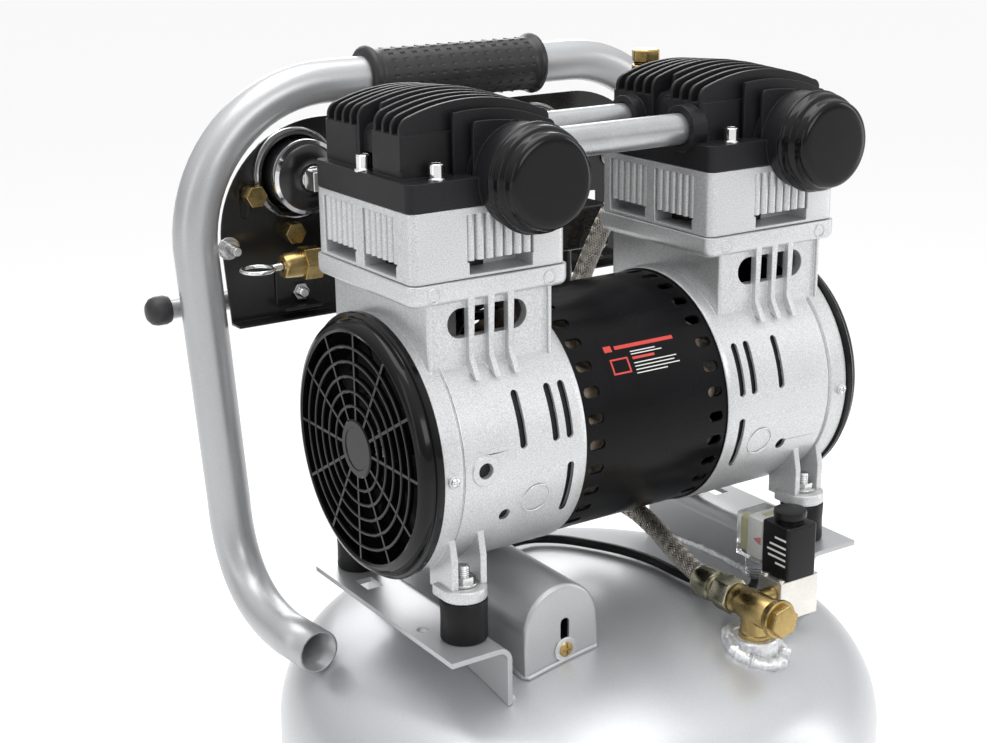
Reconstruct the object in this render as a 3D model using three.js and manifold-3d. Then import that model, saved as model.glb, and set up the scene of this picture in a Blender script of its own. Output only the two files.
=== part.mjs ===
// Twin-cylinder oil-free air compressor on a vertical receiver tank.
// Millimetres, +Z up, standing on z = 0. X runs along the motor shaft and +Y points to the handle.
import * as THREE from 'three';
import { mergeVertices } from 'three/addons/utils/BufferGeometryUtils.js';
import Module from 'manifold-3d';

const wasm = await Module();
wasm.setup();

// ---- Driving dimensions -------------------------------------------------------------------
const GAP = 0.3; // air left between pieces that touch on the real machine
const FUSE = 1; // how far joined solids reach into each other

const TANK = { r: 178, wall: 2.5, crown: 380, knuckle: 55, low: 162, high: 464 };
const WHEEL = { r: 89, width: 44, x: 200, y: 165, bore: 8.4 };
const AXLE_R = 8;
const BASE = { strip: 4, half: 138, y: -128, low: 26, rail: 60 };
const BUNG = { x: 48, y: -104, r: 13, bore: 7 };

const TUBE_R = 12.7;
const TUBE_WALL = 1.6;
const HANDLE = {
  y: 131, top: 828, corner: 86, halfTop: 172, halfLow: 161.5, bend: 65, end: [154, 35, 523],
};
const GRIP = { r: 16, half: 61 };
const PANEL = { half: 156, low: 692, top: 808, corner: 66, wall: 1.5 };

const PUMP = [8, 4, 783]; // centre of the pump at the top faces of its cylinder blocks
const AXIS_Z = -132; // motor shaft, in the pump's frame, as all that follow
const CYL_X = 95; // centre of each cylinder
const CRANK_R = 6;
const BORE_R = 33.5;
const BLOCK = { x: 46.7, y: 50, low: -35, high: 1 };
const BARREL = { r: 70, inner: 64, near: 52, far: 138 };
const FAN_COVER = { r: 72.6, face: 150, step: 144, faceR: 64 };
const SHELL_R = 68.5;
const HEAD = { x: 47, y: 46, low: 1.3, plate: 15.5, side: 40, crest: 55 };
const FILTER = { dx: 20, z: 13.5, r: 28.5, y: -59.3 };
const MOUNT = { x: 119.85, y: 57.4, r: 12.8, low: -226.2, high: -203.5 };
const OUTLET = { y: 68, z: 20 }; // mouth of the right-hand head's delivery elbow
const VALVE = { x: 40, z: -233, block: 64.5, stemX: 79.5, stemY: -90, gland: [79.5, -63, -240] };
const COVER = { x: -67, r: 24, y0: -72, y1: 60, top: -205 };

const tankY = -(WHEEL.y + WHEEL.r - TANK.r) / 2; // puts the outer box's centre on the origin

// ---- Solids -------------------------------------------------------------------------------
function solid(geometry) {
  const shared = geometry.clone();
  shared.deleteAttribute('normal');
  shared.deleteAttribute('uv');
  const merged = mergeVertices(shared, 1e-4);
  const mesh = new wasm.Mesh({
    numProp: 3,
    vertProperties: new Float32Array(merged.attributes.position.array),
    triVerts: new Uint32Array(merged.index.array),
  });
  return new wasm.Manifold(mesh);
}

function geometryOf(body) {
  const { vertProperties, triVerts } = body.getMesh();
  const geometry = new THREE.BufferGeometry();
  geometry.setAttribute('position', new THREE.BufferAttribute(new Float32Array(vertProperties), 3));
  geometry.setIndex(new THREE.BufferAttribute(new Uint32Array(triVerts), 1));
  return geometry;
}

function join(first, ...others) {
  return others.reduce((sum, other) => sum.add(other), first);
}

function cut(first, ...others) {
  return others.reduce((rest, other) => rest.subtract(other), first);
}

function box(x0, x1, y0, y1, z0, z1) {
  const geometry = new THREE.BoxGeometry(Math.abs(x1 - x0), y1 - y0, z1 - z0);
  return solid(geometry.translate((x0 + x1) / 2, (y0 + y1) / 2, (z0 + z1) / 2));
}

// A round bar from a to b along one axis, through (u, v) on the other two in X, Y, Z order.
function bar(axis, radius, a, b, u, v, sides = 20) {
  const geometry = new THREE.CylinderGeometry(radius, radius, Math.abs(b - a), sides);
  geometry.translate(0, (a + b) / 2, 0);
  if (axis === 'x') geometry.rotateZ(-Math.PI / 2).translate(0, u, v);
  if (axis === 'y') geometry.translate(u, 0, v);
  if (axis === 'z') geometry.rotateX(Math.PI / 2).translate(u, v, 0);
  return solid(geometry);
}

// A turned shape: its outline is [radius, height] pairs, turned about Y and then laid along an axis.
function turned(outline, axis, sides = 24) {
  const points = outline.map(([radius, height]) => new THREE.Vector2(radius, height));
  const geometry = new THREE.LatheGeometry([...points, points[0].clone()], sides);
  if (axis === 'x') geometry.rotateZ(-Math.PI / 2);
  if (axis === 'z') geometry.rotateX(Math.PI / 2);
  const body = solid(geometry);
  return body.volume() > 0 ? body : solid(flipped(geometry));
}

function flipped(geometry) {
  const index = geometry.index.array;
  for (let i = 0; i < index.length; i += 3) {
    [index[i], index[i + 1]] = [index[i + 1], index[i]];
  }
  return geometry;
}

function extruded(shape, depth, curveSegments = 6) {
  return new THREE.ExtrudeGeometry(shape, { depth, bevelEnabled: false, curveSegments });
}

function roundedRectangle(halfX, halfY, radius) {
  const shape = new THREE.Shape();
  shape.absarc(halfX - radius, halfY - radius, radius, 0, Math.PI / 2);
  shape.absarc(radius - halfX, halfY - radius, radius, Math.PI / 2, Math.PI);
  shape.absarc(radius - halfX, radius - halfY, radius, Math.PI, 1.5 * Math.PI);
  shape.absarc(halfX - radius, radius - halfY, radius, 1.5 * Math.PI, 2 * Math.PI);
  return shape;
}

function sweep(path, radius, sides, steps) {
  const geometry = new THREE.ExtrudeGeometry(regular(radius, sides), {
    extrudePath: path,
    steps,
    bevelEnabled: false,
  });
  return solid(geometry);
}

function arcPoints(radius, from, to, steps) {
  const points = [];
  for (let i = 0; i <= steps; i += 1) {
    const turn = from + ((to - from) * i) / steps;
    points.push(new THREE.Vector2(radius * Math.cos(turn), radius * Math.sin(turn)));
  }
  return points;
}

function regular(radius, sides) {
  return new THREE.Shape(arcPoints(radius, 0, 2 * Math.PI, sides).slice(0, -1));
}

function spline(points) {
  return new THREE.CatmullRomCurve3(points.map((point) => new THREE.Vector3(...point)));
}

function mesh(name, body, color, roughness, metalness) {
  const material = new THREE.MeshStandardMaterial({ color, roughness, metalness });
  const piece = new THREE.Mesh(geometryOf(body), material);
  piece.name = name;
  return piece;
}

// ---- Finishes -----------------------------------------------------------------------------
const silverPaint = (name, body) => mesh(name, body, '#9fa2a6', 0.4, 0.5);
const castMetal = (name, body) => mesh(name, body, '#c4c5c6', 0.5, 0.7);
const blackPaint = (name, body) => mesh(name, body, '#17181a', 0.35, 0.1);
const blackRubber = (name, body) => mesh(name, body, '#1b1b1c', 0.8, 0);
const steel = (name, body) => mesh(name, body, '#b9babd', 0.3, 0.9);
const brass = (name, body) => mesh(name, body, '#b5985a', 0.3, 0.9);

// ---- Receiver tank ------------------------------------------------------------------------
// Height of the crown's centre below the top head, and the angle where crown meets knuckle.
const crownDrop = Math.sqrt((TANK.crown - TANK.knuckle) ** 2 - (TANK.r - TANK.knuckle) ** 2);
const crownTurn = Math.asin((TANK.r - TANK.knuckle) / (TANK.crown - TANK.knuckle));

function domeHeight(x, y) {
  return TANK.high - crownDrop + Math.sqrt(TANK.crown ** 2 - x * x - y * y);
}

// Quarter outline of a dished head from the axis to the straight wall, as [radius, rise].
function headOutline(wall, crownSteps, knuckleSteps) {
  const outline = [];
  for (let i = 0; i <= crownSteps; i += 1) {
    const turn = (crownTurn * i) / crownSteps;
    const radius = TANK.crown - wall;
    outline.push([radius * Math.sin(turn), radius * Math.cos(turn) - crownDrop]);
  }
  for (let i = 1; i <= knuckleSteps; i += 1) {
    const turn = crownTurn + ((Math.PI / 2 - crownTurn) * i) / knuckleSteps;
    const radius = TANK.knuckle - wall;
    outline.push([TANK.r - TANK.knuckle + radius * Math.sin(turn), radius * Math.cos(turn)]);
  }
  return outline;
}

function vessel(wall, crownSteps, knuckleSteps) {
  const quarter = headOutline(wall, crownSteps, knuckleSteps);
  const top = quarter.map(([radius, rise]) => [radius, TANK.high + rise]);
  const bottom = quarter.map(([radius, rise]) => [radius, TANK.low - rise]).reverse();
  const points = [...top, ...bottom].map(([radius, height]) => new THREE.Vector2(radius, height));
  const geometry = new THREE.LatheGeometry(points.reverse(), 24).rotateX(Math.PI / 2);
  const body = solid(geometry);
  return body.volume() > 0 ? body : solid(flipped(geometry));
}

function tankShell() {
  const outside = vessel(0, 2, 3);
  const inside = vessel(TANK.wall, 1, 3);
  const bungTop = domeHeight(BUNG.x, BUNG.y) + 8;
  const valveBung = bar('z', BUNG.r, bungTop - 24, bungTop, BUNG.x, BUNG.y, 16);
  const drainBung = bar('z', BUNG.r, 76, 96, 0, 0, 16);
  const walls = cut(join(outside, valveBung, drainBung), inside);
  const valveBore = bar('z', BUNG.bore, bungTop - 40, bungTop + 1, BUNG.x, BUNG.y, 12);
  const drainBore = bar('z', BUNG.bore, 70, 110, 0, 0, 12);
  return silverPaint('tank_shell', cut(walls, valveBore, drainBore));
}

// Steel strips under the tank: a front foot across, two rails along and a rear plate that
// holds the axle. The rails follow the lower head, where they are welded.
function baseFrame() {
  const { strip, half, y, low, rail } = BASE;
  const back = WHEEL.y + 22;
  const foot = box(-half, half, y - 22, y + 22, low, low + strip);
  const rails = [-rail, rail].map((x) => box(x - strip / 2, x + strip / 2, y - 22, back, low, 150));
  const rear = box(-rail, rail, WHEEL.y + 14, WHEEL.y + 18, 70, 108);
  const cross = box(-rail, rail, 58, 58 + strip, low, low + 30);
  const relief = box(-half, half, y + 40, WHEEL.y - 40, low - 1, low + 20);
  const axleHole = bar('x', AXLE_R + 0.4, -80, 80, WHEEL.y, WHEEL.r, 16);
  const overHead = box(-half, half, TANK.r - 10, back + 1, 120, 160);
  const plates = cut(join(foot, ...rails, rear), vessel(-GAP, 2, 3), relief, axleHole, overHead);
  return blackPaint('base_frame', join(plates, cross.translate([0, 0, 20])));
}

function baseFoot(name, side) {
  const outline = [[0, 0], [16, 0], [18, 4], [14, 25.7], [0, 25.7]];
  const piece = blackRubber(name, turned(outline, 'z', 20));
  piece.position.set(side * 118, -128, 0);
  return piece;
}

function wheel(name, side) {
  const half = WHEEL.width / 2;
  const outline = [
    [WHEEL.bore, -half], [22, -half], [24, -10], [58, -10], [62, -half + 4], [82, -half + 4],
    [WHEEL.r, -half + 12], [WHEEL.r, half - 12], [82, half - 4], [62, half - 4], [58, 10], [24, 10],
    [22, half], [WHEEL.bore, half],
  ];
  const piece = blackRubber(name, turned(outline, 'x', 20));
  piece.position.set(side * WHEEL.x, WHEEL.y, WHEEL.r);
  return piece;
}

function axle() {
  const reach = WHEEL.x + WHEEL.width / 2 - FUSE;
  return steel('axle', bar('x', AXLE_R, -reach, reach, WHEEL.y, WHEEL.r, 16));
}

function drainValve() {
  const body = join(
    bar('z', 6.5, 52, 95, 0, 0, 12),
    bar('z', 11, 58, 75.5, 0, 0, 6),
    bar('y', 7, -60, 0, 0, 60, 12),
    bar('y', 10, -50, -34, 0, 60, 6),
  );
  return brass('drain_valve', body);
}

function drainLever() {
  const lever = join(
    bar('z', 5, 70.6, 76, 0, -42, 12),
    box(-4, 4, -90, -42, 73, 76),
  );
  return mesh('drain_lever', lever, '#a3261f', 0.5, 0);
}

// ---- Handle and control panel -------------------------------------------------------------
function arc(centre, from, to, radius) {
  const middle = from.clone().add(to).multiplyScalar(0.5).sub(centre).setLength(radius).add(centre);
  const control = middle.multiplyScalar(2).sub(from.clone().add(to).multiplyScalar(0.5));
  return new THREE.QuadraticBezierCurve3(from, control, to);
}

function handlePath() {
  const { y, top, corner, halfTop, halfLow, bend, end } = HANDLE;
  const at = (px, py, pz) => new THREE.Vector3(px, py, pz);
  const halves = [-1, 1].map((side) => {
    const mouth = at(side * end[0], end[1], end[2]);
    const bendStart = at(side * 157.5, y - bend, end[2]);
    const bendEnd = at(side * halfLow, y, end[2] + bend);
    const shoulder = at(side * halfTop, y, top - corner);
    const crest = at(side * (halfTop - corner), y, top);
    return { mouth, bendStart, bendEnd, shoulder, crest };
  });
  const path = new THREE.CurvePath();
  const [left, right] = halves;
  path.add(new THREE.LineCurve3(left.mouth, left.bendStart));
  path.add(new THREE.QuadraticBezierCurve3(left.bendStart, at(-159.5, y, end[2]), left.bendEnd));
  path.add(new THREE.LineCurve3(left.bendEnd, left.shoulder));
  path.add(arc(at(corner - halfTop, y, top - corner), left.shoulder, left.crest, corner));
  path.add(new THREE.LineCurve3(left.crest, right.crest));
  path.add(arc(at(halfTop - corner, y, top - corner), right.crest, right.shoulder, corner));
  path.add(new THREE.LineCurve3(right.shoulder, right.bendEnd));
  path.add(new THREE.QuadraticBezierCurve3(right.bendEnd, at(159.5, y, end[2]), right.bendStart));
  path.add(new THREE.LineCurve3(right.bendStart, right.mouth));
  return path;
}

function handleTube() {
  const shape = regular(TUBE_R, 8);
  shape.holes.push(regular(TUBE_R - TUBE_WALL, 6));
  const geometry = new THREE.ExtrudeGeometry(shape, {
    extrudePath: handlePath(),
    steps: 42,
    bevelEnabled: false,
  });
  return silverPaint('handle_tube', solid(geometry));
}

function handleGrip() {
  const inner = TUBE_R + 2 * GAP;
  const { r, half } = GRIP;
  const outline = [
    [inner, -half], [r + 1, -half], [r + 2.5, -half + 3], [r, -half + 7],
    [r, half - 7], [r + 2.5, half - 3], [r + 1, half], [inner, half],
  ];
  const piece = blackRubber('handle_grip', turned(outline, 'x', 14));
  piece.position.set(0, HANDLE.y, HANDLE.top);
  return piece;
}

// Round bar behind the legs with a rubber ball on each end, for hanging the air hose.
function hoseBar() {
  const y = HANDLE.y + TUBE_R + 8 + GAP;
  const ends = [-1, 1].map((side) => bar('x', 8.5, side * 184, side * 196, y, 702, 14));
  return silverPaint('hose_bar', join(bar('x', 6, -190, 190, y, 702, 14), ...ends));
}

const gaugePlaces = [['tank', -108], ['outlet', 58]];
const GAUGE = { r: 24, z: 777, depth: 24 };
const KNOB = { x: -30, z: 760, r: 16 };
const SWITCH = { x: 14, z: 726 };
const COUPLER = { x: 72, z: 724 };
const NOTCH = { left: -66, right: 28, low: 778 }; // room for a hand under the grip

function controlPanel() {
  const { half, low, top, corner, wall } = PANEL;
  const shape = new THREE.Shape();
  shape.moveTo(-half + 4, low);
  shape.lineTo(half - 4, low);
  shape.lineTo(half, top - corner);
  shape.absarc(half - corner, top - corner, corner, 0, Math.PI / 2);
  shape.absarc(corner - half, top - corner, corner, Math.PI / 2, Math.PI);
  gaugePlaces.forEach(([, x]) => {
    shape.holes.push(new THREE.Path().absarc(x, GAUGE.z, GAUGE.r - 3.5, 0, 2 * Math.PI));
  });
  shape.holes.push(new THREE.Path().absarc(KNOB.x, KNOB.z, 11, 0, 2 * Math.PI));
  shape.holes.push(new THREE.Path().absarc(COUPLER.x, COUPLER.z, 7, 0, 2 * Math.PI));
  const sheet = solid(extruded(shape, wall, 8).rotateX(Math.PI / 2).translate(0, wall, 0));
  const slot = box(-146, -141, -5, 5, 752, 772);
  const window = box(98, 110, -5, 5, 730, 742);
  const opening = box(SWITCH.x - 16, SWITCH.x + 16, -5, 5, SWITCH.z - 16, SWITCH.z + 16);
  const notch = box(NOTCH.left, NOTCH.right, -5, 5, NOTCH.low, top + 5);
  const lip = box(-half + 4, half - 4, -10, wall, low, low + wall);
  return blackPaint('control_panel', join(cut(sheet, slot, window, opening, notch), lip));
}

function gauge(name, x) {
  const { r, z, depth } = GAUGE;
  const outline = [
    [0, -depth], [9, -depth], [r - 4, -depth + 5], [r - 4, 2], [r + 2, 2], [r + 2, 7],
    [r - 1, 8], [r - 1, 5], [0, 5],
  ];
  const piece = steel(name, join(turned(outline, 'y', 18), box(-5, 5, -depth - 12, -depth + 1, -5, 5)));
  piece.position.set(x, 0, z);
  return piece;
}

function gaugeNeedle(name, x) {
  const needle = join(bar('y', 2.5, 5.4, 7.2, 0, 0, 10), box(-0.8, 0.8, 5.8, 6.6, -17, 4));
  const piece = mesh(name, needle, '#c22419', 0.5, 0);
  piece.position.set(x, 0, GAUGE.z);
  piece.rotation.y = -Math.PI / 4;
  return piece;
}

function regulator() {
  const { x, z, r } = KNOB;
  const body = join(
    bar('y', r, -50, -10, x, z, 16), bar('y', 10, -12, 5, x, z, 16), bar('z', 10, 743, z, x, -31, 12),
  );
  return blackPaint('regulator', body);
}

function regulatorKnob() {
  const outline = [[0, 5.5], [15, 5.5], [17, 9], [16, 28], [13, 30], [0, 30]];
  const piece = blackPaint('regulator_knob', turned(outline, 'y', 18));
  piece.position.set(KNOB.x, 0, KNOB.z);
  return piece;
}

function manifold() {
  const block = box(-98, 88, -44, -20, 716, 742.6);
  const inlet = bar('z', 6, 690, 720, 60, -32, 12);
  return blackPaint('manifold', join(block, inlet));
}

function pressureSwitch() {
  const { x, z } = SWITCH;
  const shell = box(x - 26, x + 26, -16, -GAP, z - 26, z + 26);
  const face = box(x - 15, x + 15, -1.3, 3, z - 15, z + 15);
  const recess = box(x - 10, x + 10, -10, 5, z - 13.5, z + 13.5);
  return blackPaint('pressure_switch', cut(join(shell, face), recess));
}

function switchLever() {
  const lever = join(box(-9, 9, -6, 4, -11.5, 11.5), bar('x', 3, -9.6, 9.6, -4, 0, 10));
  const piece = mesh('switch_lever', lever, '#b3261c', 0.4, 0);
  piece.position.set(SWITCH.x, 0, SWITCH.z);
  return piece;
}

function coupler() {
  const body = join(
    bar('y', 6, -19.7, 34, COUPLER.x, COUPLER.z, 12),
    bar('y', 9.5, 2.2, 10, COUPLER.x, COUPLER.z, 6),
    bar('y', 8, 30, 38, COUPLER.x, COUPLER.z, 12),
  );
  return steel('coupler', cut(body, bar('y', 4, 20, 40, COUPLER.x, COUPLER.z, 8)));
}

function couplerSleeve() {
  const outline = [[6.4, 15.5], [11, 15.5], [11.5, 17], [11.5, 24], [10, 25], [10, 29], [6.4, 29]];
  const piece = brass('coupler_sleeve', turned(outline, 'y', 14));
  piece.position.set(COUPLER.x, 0, COUPLER.z);
  return piece;
}

function safetyValve() {
  const body = join(
    bar('x', 6, -112, -98.3, -32, 731, 12),
    bar('x', 10, -124, -110, -32, 731, 6),
    bar('x', 7.5, -134, -123, -32, 731, 16),
  );
  return brass('safety_valve', cut(body, bar('x', 3, -136, -118, -32, 731, 12)));
}

function safetyRing() {
  const ring = solid(new THREE.TorusGeometry(9, 1.3, 5, 12)).translate([-149, -32, 731]);
  const stem = bar('x', 2.3, -140.5, -120, -32, 731, 10);
  return steel('safety_ring', join(ring, stem));
}

function panelGroup() {
  const group = new THREE.Group();
  group.position.set(0, HANDLE.y, 0);
  group.add(controlPanel(), regulator(), regulatorKnob(), manifold(), pressureSwitch(), switchLever());
  group.add(coupler(), couplerSleeve(), safetyValve(), safetyRing());
  gaugePlaces.forEach(([name, x]) => {
    group.add(gauge(`${name}_gauge`, x), gaugeNeedle(`${name}_needle`, x));
  });
  return group;
}

// ---- Pump brackets on the tank's shoulder -------------------------------------------------
function pumpBracket(name, side) {
  const plateTop = PUMP[2] + MOUNT.low;
  const inner = PUMP[0] + side * 105;
  const outer = PUMP[0] + side * 142;
  const low = Math.min(inner, outer);
  const high = Math.max(inner, outer);
  const plate = box(low, high, PUMP[1] - 81, PUMP[1] + 70, plateTop - 3 - GAP, plateTop - GAP);
  const flangeEdge = inner + side * 3;
  const flangeLow = Math.min(inner, flangeEdge);
  const flangeHigh = Math.max(inner, flangeEdge);
  const flange = box(flangeLow, flangeHigh, PUMP[1] - 81, PUMP[1] + 70, 500, plateTop - FUSE);
  const slotX = PUMP[0] + side * 128;
  const slot = box(slotX - 2, slotX + 2, -34, -24, plateTop - 9, plateTop + 9);
  return silverPaint(name, cut(join(plate, flange), vessel(-GAP, 12, 6), slot));
}

// ---- Pump ---------------------------------------------------------------------------------
function mirrored(side, a, b) {
  return side > 0 ? [a, b] : [-b, -a];
}

function rubberMount(name, sideX, sideY) {
  const { r, low, high } = MOUNT;
  const outline = [[0, low], [r, low], [r, high - 1], [r - 1, high], [0, high]];
  const piece = blackRubber(name, turned(outline, 'z', 18));
  piece.position.set(sideX * MOUNT.x, sideY * MOUNT.y, 0);
  return piece;
}

function crankcase(name, side) {
  const span = (a, b) => mirrored(side, a, b);
  const [near, far] = span(BARREL.near, BARREL.far);
  const barrel = bar('x', BARREL.r, near, far, 0, AXIS_Z, 28);
  const rim = bar('x', FAN_COVER.r, ...span(BARREL.far - 9, BARREL.far), 0, AXIS_Z, 28);
  const tower = box(...span(57, 133), -47, 47, AXIS_Z, -46);
  const flange = box(...span(CYL_X - BLOCK.x, CYL_X + BLOCK.x), -51.5, 51.5, -46.5, BLOCK.low - GAP);
  const feet = [-1, 1].map((end) => {
    const [near, far] = end > 0 ? [40, 66] : [-66, -40];
    const web = box(...span(109, 130.5), near, far, -198, -160);
    return join(web, bar('z', 13, MOUNT.high + GAP, -196, side * MOUNT.x, end * MOUNT.y, 16));
  });
  const hollow = join(
    bar('x', BARREL.inner, ...span(BARREL.near + 5, BARREL.far + 1), 0, AXIS_Z, 20),
    box(...span(62, 128), -39, 39, AXIS_Z, BLOCK.low + 1),
  );
  const shaftHole = bar('x', 9, ...span(40, 60), 0, AXIS_Z, 14);
  const outside = join(barrel, rim, tower, flange, ...feet);
  return castMetal(name, cut(outside, hollow, shaftHole, ...coolingSlots(side)));
}

// Air slots through the front wall: tower louvres, and slots in the barrel.
function coolingSlots(side) {
  const slots = [];
  const slit = (x, width, low, high) => {
    slots.push(box(...mirrored(side, x - width / 2, x + width / 2), -80, 0, low, high));
  };
  [-18, -6, 6, 18].forEach((step) => slit(CYL_X + step, 8, -66, -50.5));
  [91, 71, 62].forEach((x) => slit(x, 4, -124, -95));
  slit(62, 4, -165, -137);
  return slots;
}

function cylinderBlock(name, side) {
  const shape = roundedRectangle(BLOCK.x, BLOCK.y, 5);
  shape.holes.push(regular(BORE_R, 18));
  const block = solid(extruded(shape, BLOCK.high - BLOCK.low, 5).translate(0, 0, BLOCK.low));
  const seat = bar('z', 38, BLOCK.high - 3.3, BLOCK.high + 1, 0, 0, 20);
  const piece = castMetal(name, cut(block, seat));
  piece.position.x = side * CYL_X;
  return piece;
}

function valvePlate(name, side) {
  const top = BLOCK.high;
  const plate = bar('z', 37.6, top - 3, top, 0, 0, 20);
  const ports = [[-14, 8], [-14, -8], [14, 8], [14, -8]].map(([x, y]) => bar('z', 4, -5, 5, x, y, 8));
  const piece = steel(name, cut(plate, ...ports));
  piece.position.x = side * CYL_X;
  return piece;
}

// The finned head: a flat plate, a body with an arched crest, and fins that run along the shaft.
function cylinderHead(name, side) {
  const { x, y, low, plate, side: eave, crest } = HEAD;
  const rise = crest - eave;
  const radius = (x * x + rise * rise) / (2 * rise);
  const turn = Math.asin(x / radius);
  const arch = new THREE.Shape();
  arch.moveTo(-x, low);
  arch.lineTo(x, low);
  arch.absarc(0, crest - radius, radius, Math.PI / 2 - turn, Math.PI / 2 + turn);
  const body = solid(extruded(arch, 2 * y, 4).rotateX(Math.PI / 2).translate(0, y, 0));
  const base = box(-x, x, -BLOCK.y, BLOCK.y, low, plate);
  const grooves = [];
  for (let groove = -37; groove <= 38; groove += 17) {
    grooves.push(box(-x - 1, x + 1, groove, groove + 7, eave - 7, crest + 1));
  }
  const notches = [
    box(-x - 1, -x + 12, -6, 7.5, plate, crest), box(-x + 12, -x + 24, -47, -36, plate, crest),
  ];
  const housing = bar('y', 27, FILTER.y + GAP, -40, FILTER.dx, FILTER.z, 18);
  const blockRoom = box(-60, 60, -BLOCK.y - GAP, 60, -20, low);
  const bosses = [-25, 26].map((port) => bar('x', 13, ...mirrored(-side, x - 8, x + 2), port, 22.7, 16));
  const chambers = [box(-32, 32, -31, -3, 0, 30), box(-32, 32, 3, 31, 0, 30)];
  const ports = [-25, 26].map((port) => bar('x', 9.2, ...mirrored(-side, 30, x + 4), port, 22.7, 12));
  const intake = bar('y', 8, -70, -25, FILTER.dx, FILTER.z, 12);
  const outside = join(cut(join(body, base), ...grooves, ...notches), cut(housing, blockRoom), ...bosses);
  const casting = side > 0 ? join(outside, outletElbow()) : outside;
  const piece = blackPaint(name, cut(casting, ...chambers, ...ports, intake));
  piece.position.x = side * CYL_X;
  return piece;
}

// Delivery elbow on the back of the right-hand head, where the hose to the tank starts.
function outletElbow() {
  const { y, z } = OUTLET;
  const arm = bar('y', 8, 45, y, 0, z + 8, 12);
  return join(arm, bar('z', 9, z + GAP, z + 18, 0, y, 12), bar('z', 8, z + 17, z + 26, 0, y, 6));
}

function intakeFilter(name, side) {
  const { r, y } = FILTER;
  const outline = [
    [9, y], [r, y], [r, y - 3], [r - 2, y - 4], [r - 2.5, y - 10], [r - 4, y - 11], [r - 4, y - 15],
    [r - 6, y - 17], [0, y - 17], [0, y - 14], [r - 6, y - 14], [r - 6, y - 3], [9, y - 3],
  ];
  const piece = blackPaint(name, turned(outline, 'y', 14));
  piece.position.set(side * CYL_X + FILTER.dx, 0, FILTER.z);
  return piece;
}

function transferTube(name, y) {
  const reach = CYL_X - HEAD.x + 3;
  const hole = bar('x', 7, -reach - 1, reach + 1, y, 22.7, 12);
  const tube = cut(bar('x', 8.7, -reach, reach, y, 22.7, 16), hole);
  return steel(name, tube);
}

function motorShell() {
  const half = BARREL.near - GAP;
  const hole = bar('x', SHELL_R - 2, -60, 60, 0, AXIS_Z, 28);
  const shell = cut(bar('x', SHELL_R, -half, half, 0, AXIS_Z, 28), hole);
  const vents = [];
  for (let i = 0; i < 4; i += 1) {
    const vent = join(box(-43, -34, -80, 80, -3, 3), box(34, 43, -80, 80, -3, 3));
    vents.push(vent.rotate([i * 45 + 10, 0, 0]).translate([0, 0, AXIS_Z]));
  }
  return blackPaint('motor_shell', cut(shell, ...vents));
}

function stator() {
  const outline = [
    [41, -30], [44, -30], [44, -44], [60, -44], [60, -30], [66, -30],
    [66, 30], [60, 30], [60, 44], [44, 44], [44, 30], [41, 30],
  ];
  const piece = mesh('stator', turned(outline, 'x', 14), '#8a5a3a', 0.5, 0.6);
  piece.position.z = AXIS_Z;
  return piece;
}

// Shaft, rotor and the two eccentrics that drive the connecting rods half a turn apart.
function motorShaft() {
  const outline = [
    [0, -136], [8, -136], [8, -33], [22, -33], [22, -30], [39, -30],
    [39, 30], [22, 30], [22, 33], [8, 33], [8, 136], [0, 136],
  ];
  const eccentrics = [-1, 1].map((side) => bar('x', 15, ...mirrored(side, 89, 101), 0, side * CRANK_R, 20));
  const piece = steel('motor_shaft', join(turned(outline, 'x', 14), ...eccentrics));
  piece.position.z = AXIS_Z;
  return piece;
}

function connectingRod(name, side) {
  const pin = AXIS_Z + side * CRANK_R;
  const top = side * CRANK_R - 14;
  const rod = join(
    bar('x', 21, ...mirrored(side, 90, 100), 0, pin, 14),
    box(...mirrored(side, 91, 99), -8, 8, pin + 18, top - 5),
    bar('z', 25, top - 6, top, side * CYL_X, 0, 14),
  );
  return castMetal(name, cut(rod, bar('x', 15.3, -110, 110, 0, pin, 20)));
}

function coolingFan(name, side) {
  const hub = bar('x', 14, ...mirrored(side, 118, 135), 0, AXIS_Z, 14);
  const blades = [];
  for (let i = 0; i < 6; i += 1) {
    const blade = box(-1, 1, -9, 9, 12, 58).rotate([0, 0, 55]);
    blades.push(blade.rotate([60 * i, 0, 0]).translate([side * 127, 0, AXIS_Z]));
  }
  const bore = bar('x', 8.3, -140, 140, 0, AXIS_Z, 14);
  return blackPaint(name, cut(join(hub, ...blades), bore));
}

function fanCover(name, side) {
  const { r, face, step, faceR } = FAN_COVER;
  const grille = regular(faceR, 28);
  for (let i = 0; i < 8; i += 1) {
    const from = (i * Math.PI) / 4 + 0.08;
    const to = ((i + 1) * Math.PI) / 4 - 0.08;
    const window = [...arcPoints(faceR - 5, from, to, 2), ...arcPoints(24, to, from, 1)];
    grille.holes.push(new THREE.Path(window));
  }
  const front = solid(extruded(grille, 3).rotateY(Math.PI / 2).translate(face - 3, 0, 0));
  const base = BARREL.far + GAP;
  const outline = [
    [r - 6, base], [r, base], [r, step], [faceR, face], [faceR - 4, face], [faceR - 4, step], [r - 6, step],
  ];
  const cover = join(front, turned(outline, 'x', 28));
  const piece = blackPaint(name, side > 0 ? cover : cover.rotate([0, 0, 180]));
  piece.position.z = AXIS_Z;
  return piece;
}

// ---- Pieces between the pump and the tank -------------------------------------------------
function capacitorCover() {
  const { x, r, y0, y1, top } = COVER;
  const outline = (radius, low) => {
    const shape = new THREE.Shape();
    shape.moveTo(-radius, low);
    shape.lineTo(radius, low);
    shape.absarc(0, top - r, radius, 0, Math.PI);
    return shape;
  };
  const depth = y1 - y0;
  const outside = solid(extruded(outline(r, -300), depth, 7).rotateX(Math.PI / 2).translate(x, y1, 0));
  const inside = solid(
    extruded(outline(r - 2, -310), depth - 4, 7).rotateX(Math.PI / 2).translate(x, y1 - 2, 0),
  );
  return silverPaint('capacitor_cover', cut(outside, inside, dome()));
}

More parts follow.
